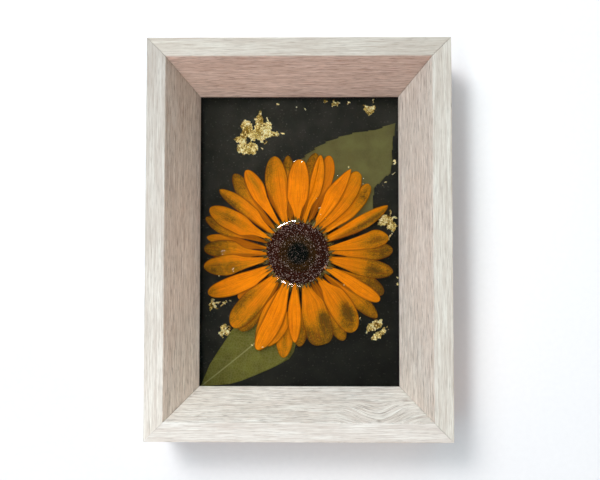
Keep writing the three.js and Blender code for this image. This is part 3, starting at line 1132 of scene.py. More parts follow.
@dataclass
class Flower:
    """The pressed head: rays in layers, bracts between them, and the disc of florets."""

    x: float = -0.7
    y: float = -6.8
    bed: float = 1.75           # how high the lowest petal lies above the board
    layer_step: float = 0.36
    skin_mm: float = 0.16
    groove_mm: float = 0.2      # depth of a petal's two long grooves
    uneven_mm: float = 0.1      # how far its face rises and falls
    outline_mm: float = 0.6     # how far its dark edge reaches in
    spacing: float = 1.35       # how much closer together its faces lie at its tip
    overlap: float = 32.0       # degrees within which a petal may lie on another
    painted_cover_shadow: float = 0.60         # how dark the painted shadow is on a petal beside the one that lies on it
    painted_cover_shadow_mm: float = 1.05      # how far that reaches
    slit_start: float = 16.0    # how far from the middle the slits begin
    slit_reach: float = 7.0     # how far from a slit a petal's mid-line may lie and still open it
    slit_push: float = 5.0      # how far a petal's edge may be drawn back
    gap_fade: float = 10.0      # how far past a slit the petals beside it close over each other
    seed: int = 11
    gaps: tuple[Gap, ...] = (
        Gap(128.5, 31, 0.8), Gap(119, 33, 0.8), Gap(106, 20.5, 0.5), Gap(96.5, 21, 0.6), Gap(86, 20.5, 0.5),
        Gap(74, 25, 0.4), Gap(64.5, 29, 0.6), Gap(33.5, 30, 0.6),
        Gap(16.5, 37, 1.2), Gap(-2, 22, 0.4), Gap(-19.5, 32, 1.1), Gap(-34, 30, 0.9), Gap(-44.5, 21, 0.5),
        Gap(-56, 20, 0.4), Gap(-68, 20, 0.4), Gap(-86.5, 31, 1.0), Gap(-101.5, 30, 1.0), Gap(-120, 24, 0.6),
        Gap(-143, 28, 0.8), Gap(-163.5, 32, 0.7), Gap(-175.5, 26, 0.5), Gap(175, 26, 0.5),
        Gap(165, 32, 0.9), Gap(157, 24, 0.5), Gap(148, 25, 0.4), Gap(137, 23, 0.4))
    rays: tuple[Blade, ...] = (
        Blade(104, 53.9, 12.3, 2.6, Tone.AMBER, 10, 1.1, patches=(Patch(0.7, -0.7, 0.4, 0.5, 0.4),)),
        Blade(96, 53.1, 8.4, 0.8, Tone.OLIVE, 9, 0, 0.6, 1.9, 0.4),
        Blade(89, 50.6, 11.9, 3.4, Tone.BRIGHT, 5, 0, 0.56, 2.2),
        Blade(80, 55.0, 9.8, 1.2, Tone.OLIVE, 8, 0, 0.62, 1.9),
        Blade(77, 54.4, 7.5, 2.2, Tone.BRIGHT, 4, -1.6, 0.6, 1.9, 0.4),
        Blade(72, 55.4, 8.5, 0.6, Tone.RUST, 4, -2.1, 0.7, 2.1, 0.3),
        Blade(58, 53.7, 9.2, 3.6, Tone.BRIGHT, 5, 0, 0.5, 1.45),
        Blade(53, 54.6, 10.9, 2.4, Tone.AMBER, 0, -1.6, 0.62, 2.3, 0.3),
        Blade(44, 53.4, 8.7, 1.2, Tone.AMBER, -2, -2.1, 0.66, 2.2, 0.3,
              (Patch(0.8, 0.2, 0.25, 0.6, 0.35),)),
        Blade(28, 54.7, 7.6, 2.2, Tone.AMBER, -1, -1.3, 0.62, 1.6, 0.4,
              (Patch(0.62, 0.4, 0.4, 0.5, 0.75), Patch(0.6, -0.5, 0.4, 0.35, -0.3))),
        Blade(10, 49.2, 10.9, 2.6, Tone.AMBER, 2, 1.1, 0.68, 2.0, patches=(Patch(0.8, 0.2, 0.3, 0.6, 0.4),)),
        Blade(2, 50.8, 9.8, 1.4, Tone.OLIVE, -2, 0, 0.68, 2.0, 0.3, (Patch(0.8, 0.1, 0.18, 0.5, 0.3),)),
        Blade(349, 51.7, 9.8, 2.2, Tone.OLIVE, 0, -0.5, 0.68, 1.9, 0.3, (Patch(0.7, 0.2, 0.12, 0.5, 0.5),)),
        Blade(335, 50.5, 9.1, 0.8, Tone.OLIVE, 4, 1.1, 0.68, 2.1, 0.3, (Patch(0.75, 0, 0.4, 0.8, 0.3),)),
        Blade(330, 50.3, 7.4, 3.2, Tone.BRIGHT, 3, 0, 0.62, 2.4, 0.5),
        Blade(321, 54.4, 8.2, 1.0, Tone.OLIVE, 4, 0.5, 0.68, 1.9),
        Blade(306, 51.3, 13.4, 2.4, Tone.AMBER, 6, 1.1, 0.62, 2.2, 0.35,
              (Patch(0.7, -0.25, 0.17, 0.45, 1.0), Patch(0.85, 0.5, 0.2, 0.4, 0.35))),
        Blade(298, 52.4, 8.3, 0.8, Tone.OLIVE, 0, 0, 0.7, 2.2, 0.3),
        Blade(285, 50.4, 14.8, 2.0, Tone.OLIVE, 4, 0, 0.68, 3.0, 0.45,
              (Patch(0.62, -0.45, 0.14, 0.35, 0.75),)),
        Blade(271, 49.7, 9.3, 1.6, Tone.OLIVE, 0, 0.5, 0.66, 1.9, 0.3),
        Blade(268, 47.7, 7.2, 3.0, Tone.BRIGHT, -6, 0, 0.6, 1.7, 0.3),
        Blade(262, 56.2, 9.2, 0.6, Tone.AMBER, -13, 0, 0.74, 1.9, 0.3, (Patch(0.75, 0, 0.2, 0.3, 0.35),)),
        Blade(247, 55.9, 10.3, 3.4, Tone.BRIGHT, 2, 1.6, 0.6, 2.1, 0.4),
        Blade(248, 56.0, 8.0, 2.5, Tone.AMBER, -2, -2.2, 0.62, 2.1, 0.4),
        Blade(252, 52.1, 9.2, 2.0, Tone.AMBER, 2, 2.7, 0.6, 2.0),
        Blade(228, 52.6, 12.6, 2.6, Tone.AMBER, -2, -0.4, 0.66, 2.2, 0.35,
              (Patch(0.75, -0.9, 0.5, 0.3, 0.4), Patch(0.55, 0.7, 0.35, 0.5, 0.5))),
        Blade(233, 51.6, 10.8, 1.6, Tone.OLIVE, -4, 0, 0.66, 2.1),
        Blade(217, 40.0, 8.0, 1.0, Tone.RUST, -2, 0, 0.66, 2.0),
        Blade(204, 52.7, 10.3, 3.2, Tone.BRIGHT, 6, 1.1, 0.6, 2.1, 0.4, (Patch(0.97, 0, 0.12, 0.9, 0.5),)),
        Blade(188, 51.0, 11.3, 3.2, Tone.AMBER, 5, 0.5, 0.62, 2.0, 0.4,
              (Patch(0.65, -0.5, 0.5, 0.5, 0.5), Patch(0.6, 0.1, 0.35, 0.2, 0.3))),
        Blade(177, 50.5, 9.8, 2.2, Tone.OLIVE, 3, -0.5, 0.66, 2.0),
        Blade(170, 49.8, 6.6, 1.0, Tone.AMBER, -1, 0, 0.66, 1.9),
        Blade(159, 53.2, 8.2, 1.8, Tone.OLIVE, 2, 1.1, 0.66, 2.0),
        Blade(153, 53.3, 11.2, 3.4, Tone.AMBER, 0, 0.4, 0.6, 2.1, 0.35, (Patch(0.6, 0.1, 0.25, 0.5, 0.45),)),
        Blade(141, 54.5, 7.6, 2.2, Tone.AMBER, 0, -1.1, 0.62, 1.9, 0.4, (Patch(0.75, -0.7, 0.4, 0.6, 0.5),)),
        Blade(129, 55.1, 9.3, 1.0, Tone.OLIVE, 4, 1.2, 0.66, 2.0),
        Blade(122, 52.9, 9.2, 3.0, Tone.BRIGHT, 4, 0, 0.62, 2.1, 0.35, (Patch(0.72, 0.1, 0.25, 0.35, 0.45),)),
    )

    def middle(self) -> Vector:
        """The flower's middle on the board's face, in metres."""
        return Vector((self.x * MM, self.y * MM, board_top()))

    def part(self, edge: Vector, centre: Vector) -> Vector:
        """Draws a point of a petal's edge back out of the slits beside its root.

        Args:
            edge: The point, from the flower's middle, in millimetres.
            centre: The petal's mid-line at the same share of its length.

        Returns:
            The point, moved where it would cover a slit.
        """
        for gap in self.gaps:
            ahead = heading(gap.angle)
            across = ahead.cross(centre)
            share = max((edge.length - self.slit_start) / (gap.reach - self.slit_start), 0.0)
            past = (edge.length - gap.reach) / self.gap_fade
            if past > 1 or centre.dot(ahead) < 0 or abs(across) > self.slit_reach:
                continue
            side = math.copysign(1, across)
            limit = gap.half * max(1 - share, 0.0) ** 0.8 - 0.12 * smooth_step((share - 0.8) / 0.2)
            short = limit - side * ahead.cross(edge)
            hold = 1 - smooth_step(past)
            if short > 0:
                edge = edge - right_of(ahead) * side * min(short, self.slit_push) * hold
        return edge

    def habit(self, name: str) -> Habit:
        """Draws what chance gives a petal or bract, always the same for its name.

        Args:
            name: The piece's name.

        Returns:
            Its grooves, its place in the noise and its outline.
        """
        chance = random.Random(f"{self.seed}-{name}")
        grooves = (chance.uniform(0.22, 0.42), -chance.uniform(0.22, 0.42))
        return Habit(grooves, drift=chance.uniform(0, 50), outline=chance.uniform(0.6, 0.95))

    def covers(self, blade: Blade) -> list[Blade]:
        """The petals that may lie on a petal."""
        return [other for other in self.rays if other.layer > blade.layer
                and abs((other.angle - blade.angle + 180) % 360 - 180) < self.overlap]

    def build_blade(self, name: str, blade: Blade, material: bpy.types.Material, slot: str,
                    lift: float, cup: float, cells: tuple[int, int] = (22, 46)) -> bpy.types.Object:
        """Builds one petal or bract as a thin closed skin.

        Args:
            name: The piece's name.
            blade: Its outline and place.
            material: Its finish.
            slot: A name for its kind: petals marks a ray petal, whose edges are drawn back from the slits and
                which gets a painted shadow beside the petals that lie on it; any other name marks a bract or
                scale.
            lift: How far its root rises to meet the disc, in millimetres.
            cup: How far its sides rise, in millimetres.
            cells: How many faces it has across and along.

        Returns:
            The piece.
        """
        habit = self.habit(name)
        drift = habit.drift
        is_petal = slot == "petals"
        covers = self.covers(blade) if is_petal else []
        length = (blade.tip() - blade.foot()).length
        right = right_of((blade.tip() - blade.foot()).normalized())
        rusty = blade.tone.value[2]
        middle = self.middle()
        mesh = bmesh.new()
        age = mesh.verts.layers.float.new("age")
        rust = mesh.verts.layers.float.new("rust")
        rim = mesh.verts.layers.float.new("rim")
        bmesh.ops.create_grid(mesh, x_segments=cells[0], y_segments=cells[1], size=1)
        vein = mesh.loops.layers.uv.new("vein")
        for vert in mesh.verts:
            vert.co.x = math.sin(vert.co.x * math.pi / 2)
        for face in mesh.faces:
            for loop in face.loops:
                across, up = loop.vert.co.x, (loop.vert.co.y + 1) / 2
                loop[vein].uv = (across * blade.width / 2 + drift, up * length + drift)
        for vert in mesh.verts:
            across, up = vert.co.x, (vert.co.y + 1) / 2
            along = 1 - (1 - up) ** self.spacing
            wobble = 1 + 0.05 * unrest(along * 5 + drift, math.copysign(2, across), 0)
            half = blade.half_width(along) * wobble
            centre = blade.mid_line(along)
            near, far = centre - right * half, centre + right * half
            if is_petal:
                near, far = self.part(near, centre), self.part(far, centre)
            flat = near.lerp(far, (across + 1) / 2)
            height = self.bed + blade.layer * self.layer_step + lift * (1 - along) ** 2
            height += cup * across * across * (0.3 + 0.7 * along)
            height -= self.groove_mm * habit.groove(across, 0.12) * (1 - along * 0.6)
            height += self.uneven_mm * unrest(along * 3 + drift, across * 1.3, 5)
            vert.co = middle + Vector((flat.x, flat.y, height)) * MM
            vert[age] = blade.age_at(along, across, flat, drift)
            vert[rust] = rusty * (0.6 + 0.4 * unrest(along * 4, across * 2, drift))
            # A dark outline at the edge, partly the dried edge's own colour and partly painted shade, then
            # painted shade along the two grooves.
            line = habit.outline * (1 - smooth_step((1 - abs(across)) * half / self.outline_mm))
            crease = 0.16 * habit.groove(across, 0.09) * (1 - along * 0.5)
            # Painted shadow: the petal is darkened beside each petal that lies on it.
            nearest = min((cover.beyond(flat) for cover in covers), default=FAR_OFF)
            painted_cover_shadow = self.painted_cover_shadow * (1 - smooth_step((nearest + 0.2) / self.painted_cover_shadow_mm))
            vert[rim] = min(line + crease + painted_cover_shadow, 0.95)
        bmesh.ops.remove_doubles(mesh, verts=mesh.verts, dist=WELD)
        thicken(mesh, self.skin_mm)
        return finish_piece(name, mesh, material)

    def build_rays(self) -> None:
        """Builds every ray petal, going clockwise from the top."""
        skin = PetalSkin().material()
        for number, blade in enumerate(self.rays, 1):
            self.build_blade(f"petal_{number:02d}", blade, skin, "petals", lift=0.9, cup=0.12)

    def build(self) -> None:
        """Builds the whole head."""
        self.build_rays()
        BractRing().build(self)
        SeedDisc().build(self)


@dataclass
class BractRing:
    """Pointed bracts behind the petals, seen in the slits, and short scales round the disc's edge."""

    skin: PetalSkin = PetalSkin(
        name="dried_bract", fresh="#A8975A", ripe="#948246", aged="#786834", olive="#5E5226",
        oldest="#382E14", rust="#6E5A34", vein="#5E5226", edge="#3A2A10", vein_mm=0.4)
    seed: int = 5
    scales: int = 58
    broad: tuple[tuple[float, float], ...] = (     # a slit's angle, and the width of the bract in it
        (-143, 3.2), (-120, 2.2), (-34, 2.4), (-19.5, 2.4), (-101.5, 2.4))

    def build(self, flower: Flower) -> None:
        """Builds a bract in each slit, broad ones where they show best, and the ring of scales.

        Args:
            flower: The head that they belong to.
        """
        skin = self.skin.material()
        chance = random.Random(self.seed)
        widths = dict(self.broad)
        for number, gap in enumerate(flower.gaps, 1):
            width = widths.get(gap.angle, chance.uniform(1.3, 2.0))
            reach = min(gap.reach - 2, chance.uniform(20.0, 22.0))
            blade = Blade(gap.angle + chance.uniform(-1, 1), reach, width, -3, Tone.BRIGHT, 0, 0, 0.3, 1.2,
                          0.9, start=14.0)
            flower.build_blade(f"bract_{number:02d}", blade, skin, "pressed_leaf", 0.9, 0.1, (8, 12))
        for number in range(1, self.scales + 1):
            angle = 360 * number / self.scales + chance.uniform(-2.5, 2.5)
            reach = chance.uniform(18.2, 20.6)
            tone = Tone.OLIVE if chance.random() < 0.6 else Tone.BRIGHT
            blade = Blade(angle, reach, chance.uniform(0.8, 1.5), 5.8, tone, chance.uniform(-3, 3), 0,
                          0.3, 1.2, 0.9, start=16.3)
            flower.build_blade(f"scale_{number:02d}", blade, skin, "pressed_leaf", 0.5, 0.1, (6, 8))


@dataclass
class SeedDisc:
    """The domed disc: a dark eye of buds and open florets round it, set in a spiral."""

    radius: float = 17.0
    top: float = 6.0           # height of the middle above the board
    edge: float = 3.75
    eye: float = 5.6
    ring: float = 8.6          # outside of the dull ring round the eye
    florets: int = 820
    grains: int = 680
    seed: int = 3
    golden_angle: float = 137.508
    body_steps: int = 18
    body_sink: float = 0.5     # how far the body lies under the florets' mean surface
    body_foot: float = 0.93    # its foot's share of the radius
    body_base: float = 0.6     # how high its underside lies above the board
    floret_sink: float = 0.7   # how deep a floret stands in the body

    def height(self, away: float) -> float:
        """Works out the disc's surface: a dome that dips at the eye.

        Args:
            away: The distance from its middle, in millimetres.

        Returns:
            The height above the board, in millimetres.
        """
        share = min(away / self.radius, 1.0)
        dome = self.edge + (self.top - self.edge) * (1 - share ** 2.4)
        return dome - 0.8 * bell(away, self.eye * 0.7)

    def warmth(self, away: float) -> float:
        """From the green-black eye, 0, through the dull ring, 0.5, to the maroon field, 1."""
        return 0.5 * smooth_step((away - self.eye * 0.9) / 1.4) + 0.5 * smooth_step((away - self.ring) / 2.5)

    def place(self, middle: Vector, away: float, angle: float, rise: float) -> Vector:
        """The place, in metres, at a distance, at an angle in radians and over the surface."""
        flat = (math.cos(angle) * away, math.sin(angle) * away)
        return middle + Vector((*flat, self.height(away) + rise)) * MM

    def build(self, flower: Flower) -> None:
        """Builds the body, the florets and the pollen.

        Args:
            flower: The head that the disc sits in.
        """
        skin = DryFloret().material()
        self.build_body(flower, skin)
        self.build_florets(flower, skin)
        self.build_pollen(flower, skin)

    def build_body(self, flower: Flower, skin: bpy.types.Material) -> bpy.types.Object:
        """Spins the disc's body from its profile.

        Args:
            flower: The head that the disc sits in.
            skin: The florets' finish.

        Returns:
            The piece.
        """
        middle = flower.middle()
        mesh = bmesh.new()
        warm = mesh.verts.layers.float.new("warm")
        distances = [self.radius * step / self.body_steps for step in range(self.body_steps + 1)]
        profile = [Vector((away * MM, 0, (self.height(away) - self.body_sink) * MM)) for away in distances]
        profile.append(Vector((self.radius * self.body_foot * MM, 0, self.body_base * MM)))
        profile.append(Vector((0, 0, self.body_base * MM)))
        verts = [mesh.verts.new(middle + point) for point in profile]
        edges = [mesh.edges.new(pair) for pair in zip(verts, verts[1:])]
        bmesh.ops.spin(mesh, geom=verts + edges, cent=middle, axis=(0, 0, 1), angle=2 * math.pi,
                       steps=72, use_merge=True)
        bmesh.ops.remove_doubles(mesh, verts=mesh.verts, dist=0.01 * MM)
        bmesh.ops.recalc_face_normals(mesh, faces=mesh.faces)
        for vert in mesh.verts:
            vert[warm] = self.warmth((vert.co - middle).to_2d().length * PER_MM)
        return finish_piece("disc_body", mesh, skin)

    def build_florets(self, flower: Flower, skin: bpy.types.Material) -> bpy.types.Object:
        """Sets closed buds in the eye and open tubes round it, in a sunflower spiral.

        Args:
            flower: The head that the disc sits in.
            skin: The florets' finish.

        Returns:
            The piece.
        """
        chance = random.Random(self.seed)
        middle = flower.middle()
        mesh = bmesh.new()
        pale = mesh.verts.layers.float.new("pale")
        warm = mesh.verts.layers.float.new("warm")
        spread = self.radius / math.sqrt(self.florets)
        for number in range(self.florets):
            away = spread * math.sqrt(number + 0.5)
            angle = math.radians(self.golden_angle * number)
            in_eye = away < self.eye * chance.uniform(0.85, 1.15)
            lean = 0.5 * (away / self.radius) ** 2 + chance.uniform(-0.15, 0.15)
            tall = chance.uniform(0.7, 1.0) if in_eye else chance.uniform(0.9, 1.5)
            foot = self.place(middle, away, angle, tall / 2 - self.floret_sink)
            tilt = Matrix.Rotation(lean, 4, Vector((-math.sin(angle), math.cos(angle), 0)))
            stand = Matrix.Translation(foot) @ tilt @ Matrix.Rotation(chance.uniform(0, 6), 4, "Z")
            wide = 0.34 if in_eye else chance.uniform(0.24, 0.36)
            mouth = wide * (0.5 if in_eye else chance.uniform(0.9, 1.3))
            made = bmesh.ops.create_cone(mesh, cap_ends=True, segments=5, radius1=wide * MM,
                                         radius2=mouth * MM, depth=tall * MM, matrix=stand)["verts"]
            tone = self.warmth(away) * chance.uniform(0.8, 1.0)
            for vert in made:
                vert[warm] = tone
            crown = max({face for vert in made for face in vert.link_faces},
                        key=lambda face: face.calc_center_median().z)
            lips = list(crown.verts)
            bmesh.ops.inset_individual(mesh, faces=[crown], thickness=mouth * 0.4 * MM,
                                       depth=(0.1 if in_eye else -0.3) * MM)
            tint = self.lip_tint(away, in_eye, chance)
            for vert in lips:
                vert[pale] = tint
            for vert in crown.verts:
                vert[warm] = tone
        bmesh.ops.recalc_face_normals(mesh, faces=mesh.faces)
        return finish_piece("disc_florets", mesh, skin, smooth=False)

    def lip_tint(self, away: float, in_eye: bool, chance: random.Random) -> float:
        """Draws how pale a floret's lip is: most are dark, and some carry pollen, none in the eye.

        Args:
            away: Its distance from the disc's middle, in millimetres.
            in_eye: Whether it is a closed bud of the eye.
            chance: The florets' own random numbers.

        Returns:
            From 0, dark, to 1, cream.
        """
        if in_eye:
            return chance.uniform(0.0, 0.12)
        share = 0.08 if away < self.ring else 0.16
        if chance.random() < share:
            return chance.uniform(0.3, 0.8)
        return chance.uniform(0.0, 0.06)

    def build_pollen(self, flower: Flower, skin: bpy.types.Material) -> bpy.types.Object:
        """Scatters pollen grains and broken lips over the open florets; the palest grains also serve as
        painted glints.

        Args:
            flower: The head that the disc sits in.
            skin: The florets' finish.

        Returns:
            The piece.
        """
        chance = random.Random(self.seed + 1)
        middle = flower.middle()
        mesh = bmesh.new()
        pale = mesh.verts.layers.float.new("pale")
        warm = mesh.verts.layers.float.new("warm")
        for _ in range(self.grains):
            away = self.radius * 0.985 * math.sqrt(chance.random())
            angle = chance.uniform(0, 2 * math.pi)
            in_eye = away < self.eye
            if in_eye or (away < self.ring and chance.random() < 0.6):
                size, tint = chance.uniform(0.12, 0.22), chance.uniform(0.08, 0.4)
            # Pale grains outside the ring: pollen, and also painted glints off the domed disc.
            else:
                size, tint = chance.uniform(0.11, 0.21), chance.uniform(0.9, 1.0)
            foot = self.place(middle, away, angle, chance.uniform(0.3, 0.6))
            turn = Matrix.Rotation(chance.uniform(0, math.pi), 4, "Z")
            stretch = Matrix.Diagonal((chance.uniform(1.0, 2.2), chance.uniform(0.5, 0.9), 0.8, 1))
            made = bmesh.ops.create_icosphere(mesh, subdivisions=1, radius=size * MM,
                                              matrix=Matrix.Translation(foot) @ turn @ stretch)["verts"]
            for vert in made:
                vert[pale] = tint
                vert[warm] = 0.4
        return finish_piece("disc_pollen", mesh, skin, smooth=False)


# ---- Leaves ----------------------------------------------------------------------------------------
@dataclass(frozen=True)
class PressedLeaf:
    """A flat leaf from a hidden root to its tip, with a half-width on each side. Millimetres."""

    name: str
    root: tuple[float, float]
    tip: tuple[float, float]
    left: tuple[tuple[float, float], ...]      # share of the length, half-width
    right: tuple[tuple[float, float], ...]
    skin: LeafSkin
    tooth: float = 0.0                         # depth of the saw teeth on its edge
    tooth_pitch: float = 6.0
    rib_width: float = 0.25
    rib_strength: float = 0.7
    rib_bow: float = 0.0
    side_rib_pitch: float = 9.5
    side_rib_slant: float = 1.1                # how far a side rib climbs for each step outward
    height: float = 0.3
    skin_mm: float = 0.18

    def build(self) -> bpy.types.Object:
        """Builds the leaf as a thin closed skin with its ribs marked.

        Returns:
            The piece.
        """
        root, tip = Vector(self.root), Vector(self.tip)
        span = tip - root
        ahead = span.normalized()
        mesh = bmesh.new()
        rib = mesh.verts.layers.float.new("rib")
        bmesh.ops.create_grid(mesh, x_segments=56, y_segments=170, size=1)
        for vert in mesh.verts:
            across, along = vert.co.x, (vert.co.y + 1) / 2
            bent = math.copysign(abs(across) ** 1.25, across)
            reach = interpolate(self.right if across > 0 else self.left, along)
            saw = (along * span.length / self.tooth_pitch) % 1.0
            edge = self.tooth * (1 - saw) * smooth_step((abs(across) - 0.9) / 0.1) * min(1, (1 - along) * 12)
            side = bent * max(reach, 0.0) + math.copysign(edge, across)
            bow = self.rib_bow * 4 * along * (1 - along)
            flat = root + span * along + right_of(ahead) * (side + bow * (1 - abs(across)))
            sag = 0.12 * unrest(flat.x * 0.07, flat.y * 0.07, 1)
            vert.co = Vector((flat.x * MM, flat.y * MM, board_top() + (self.height + sag) * MM))
            vert[rib] = self.rib_at(along * span.length, side)
        bmesh.ops.remove_doubles(mesh, verts=mesh.verts, dist=WELD)
        thicken(mesh, self.skin_mm)
        return finish_piece(self.name, mesh, self.skin.material())

    def rib_at(self, up: float, side: float) -> float:
        """Works out how strongly a rib shows: the midrib, and side ribs that leave it aslant.

        Args:
            up: The place's distance from the root along the leaf, in millimetres.
            side: Its distance to the right of the midrib.

        Returns:
            From 0, none, to 1.
        """
        midrib = bell(side, self.rib_width) * self.rib_strength
        slant = (up - abs(side) * self.side_rib_slant) / self.side_rib_pitch
        nearest = abs(slant - round(slant)) * self.side_rib_pitch
        return midrib + 0.16 * bell(nearest, 0.3)


UPPER_LEAF = PressedLeaf(
    "leaf_upper_right", root=(12.1, 13.8), tip=(51.9, 63.9),
    left=((0, 20), (0.26, 27.6), (0.43, 24.5), (0.51, 22.3), (0.61, 18.5), (0.71, 14.0),
          (0.78, 10.0), (0.84, 5.9), (0.92, 2.9), (1, 0)),
    right=((0, 12), (0.2, 19.4), (0.28, 19.9), (0.36, 16.4), (0.45, 12.6), (0.54, 13.1),
           (0.64, 14.2), (0.70, 12.4), (0.85, 5.0), (1, 0)),
    skin=LeafSkin("pressed_leaf_upper", green="#767144", brown="#655F3A", rib="#7A734B"),
    tooth=0.9, tooth_pitch=6.4, rib_strength=0.12, rib_width=0.5)
LOWER_LEAF = PressedLeaf(
    "leaf_lower_left", root=(-6.0, -39.6), tip=(-52.9, -78.0),
    left=((0, 10), (0.12, 15.1), (0.17, 17.4), (0.24, 18.6), (0.33, 17.6), (0.43, 16.2),
          (0.56, 13.9), (0.68, 11.6), (0.78, 9.0), (0.89, 4.4), (1, 0)),
    right=((0, 9), (0.3, 14.2), (0.48, 12.6), (0.59, 10.4), (0.68, 8.7), (0.81, 6.1), (0.9, 3.2), (1, 0)),
    skin=LeafSkin("pressed_leaf_lower", green="#716D2E", brown="#5D5927", rib="#A19B66"),
    rib_width=0.3, rib_strength=0.85, rib_bow=-0.5)


# ---- Gold leaf -------------------------------------------------------------------------------------
@dataclass(frozen=True)
class Lobe:
    """A lobe of a scrap of foil: middle, length, breadth and turn. Millimetres and degrees."""

    x: float
    y: float
    long: float
    wide: float
    turn: float = 0.0
    square: float = 2.3        # 2 is an oval, more has fuller corners

    def share(self, x: float, y: float) -> float:
        """Measures how far out of the lobe a place is.

        Args:
            x: The place, in millimetres.
            y: The place, in millimetres.

        Returns:
            From 0 in its middle to 1 on its edge.
        """
        turn = math.radians(self.turn)
        ahead = (x - self.x) * math.cos(turn) + (y - self.y) * math.sin(turn)
        beside = (y - self.y) * math.cos(turn) - (x - self.x) * math.sin(turn)
        long, wide = abs(2 * ahead / self.long), abs(2 * beside / self.wide)
        return (long ** self.square + wide ** self.square) ** (1 / self.square)


@dataclass(frozen=True)
class Scrap:
    """Torn and crumpled foil: the lobes that it covers, less its holes. Millimetres."""

    name: str
    lobes: tuple[Lobe, ...]
    holes: tuple[Lobe, ...] = ()
    height: float = 0.9
    least: float = 0.08        # how near the board its folds may come
    crumple: float = 0.42
    foil: float = 0.03         # its thickness, enough to stay closed
    cell: float = 0.3
    torn: float = 0.85         # how far its edge follows the shards
    shard: float = 1.1         # their size
    flat: bool = False         # whether it lies flat and takes the paler copy of the gold finish, a painted highlight on its one face

    def holds(self, x: float, y: float) -> bool:
        """Tells whether a place lies on the foil, which tears along straight-sided shards.

        Args:
            x: The place, in millimetres.
            y: The place, in millimetres.

        Returns:
            Whether a lobe covers the place and no hole does.
        """
        shard = noise.voronoi(Vector((x, y, self.height)) / self.shard)[1][0] * self.shard
        x, y = x + (shard.x - x) * self.torn, y + (shard.y - y) * self.torn
        covered = any(lobe.share(x, y) < 1 for lobe in self.lobes)
        return covered and not any(hole.share(x, y) < 1 for hole in self.holes)

    def build(self, material: bpy.types.Material) -> bpy.types.Object:
        """Tears the scrap out of a fine grid that spans its lobes, and crumples it.

        Args:
            material: Its finish.

        Returns:
            The piece.
        """
        lows = [(lobe.x - lobe.long, lobe.y - max(lobe.wide, lobe.long)) for lobe in self.lobes]
        highs = [(lobe.x + lobe.long, lobe.y + max(lobe.wide, lobe.long)) for lobe in self.lobes]
        low = Vector((min(x for x, _ in lows), min(y for _, y in lows)))
        high = Vector((max(x for x, _ in highs), max(y for _, y in highs)))
        span, middle = high - low, (high + low) / 2
        mesh = bmesh.new()
        bmesh.ops.create_grid(mesh, x_segments=int(span.x / self.cell),
                              y_segments=int(span.y / self.cell), size=0.5)
        lost = []
        for vert in mesh.verts:
            flat = Vector((middle.x + vert.co.x * span.x, middle.y + vert.co.y * span.y, self.height * 9))
            if not self.holds(flat.x, flat.y):
                lost.append(vert)
                continue
            fold = noise.noise(flat * 0.4) + 0.7 * noise.noise(flat * 0.95) + 0.4 * noise.noise(flat * 2.2)
            height = max(self.height + self.crumple * fold, self.least)
            vert.co = Vector((flat.x * MM, flat.y * MM, board_top() + height * MM))
        bmesh.ops.delete(mesh, geom=lost, context="VERTS")
        bmesh.ops.delete(mesh, geom=[v for v in mesh.verts if not v.link_faces], context="VERTS")
        thicken(mesh, self.foil)
        return finish_piece(self.name, mesh, material, smooth=False)


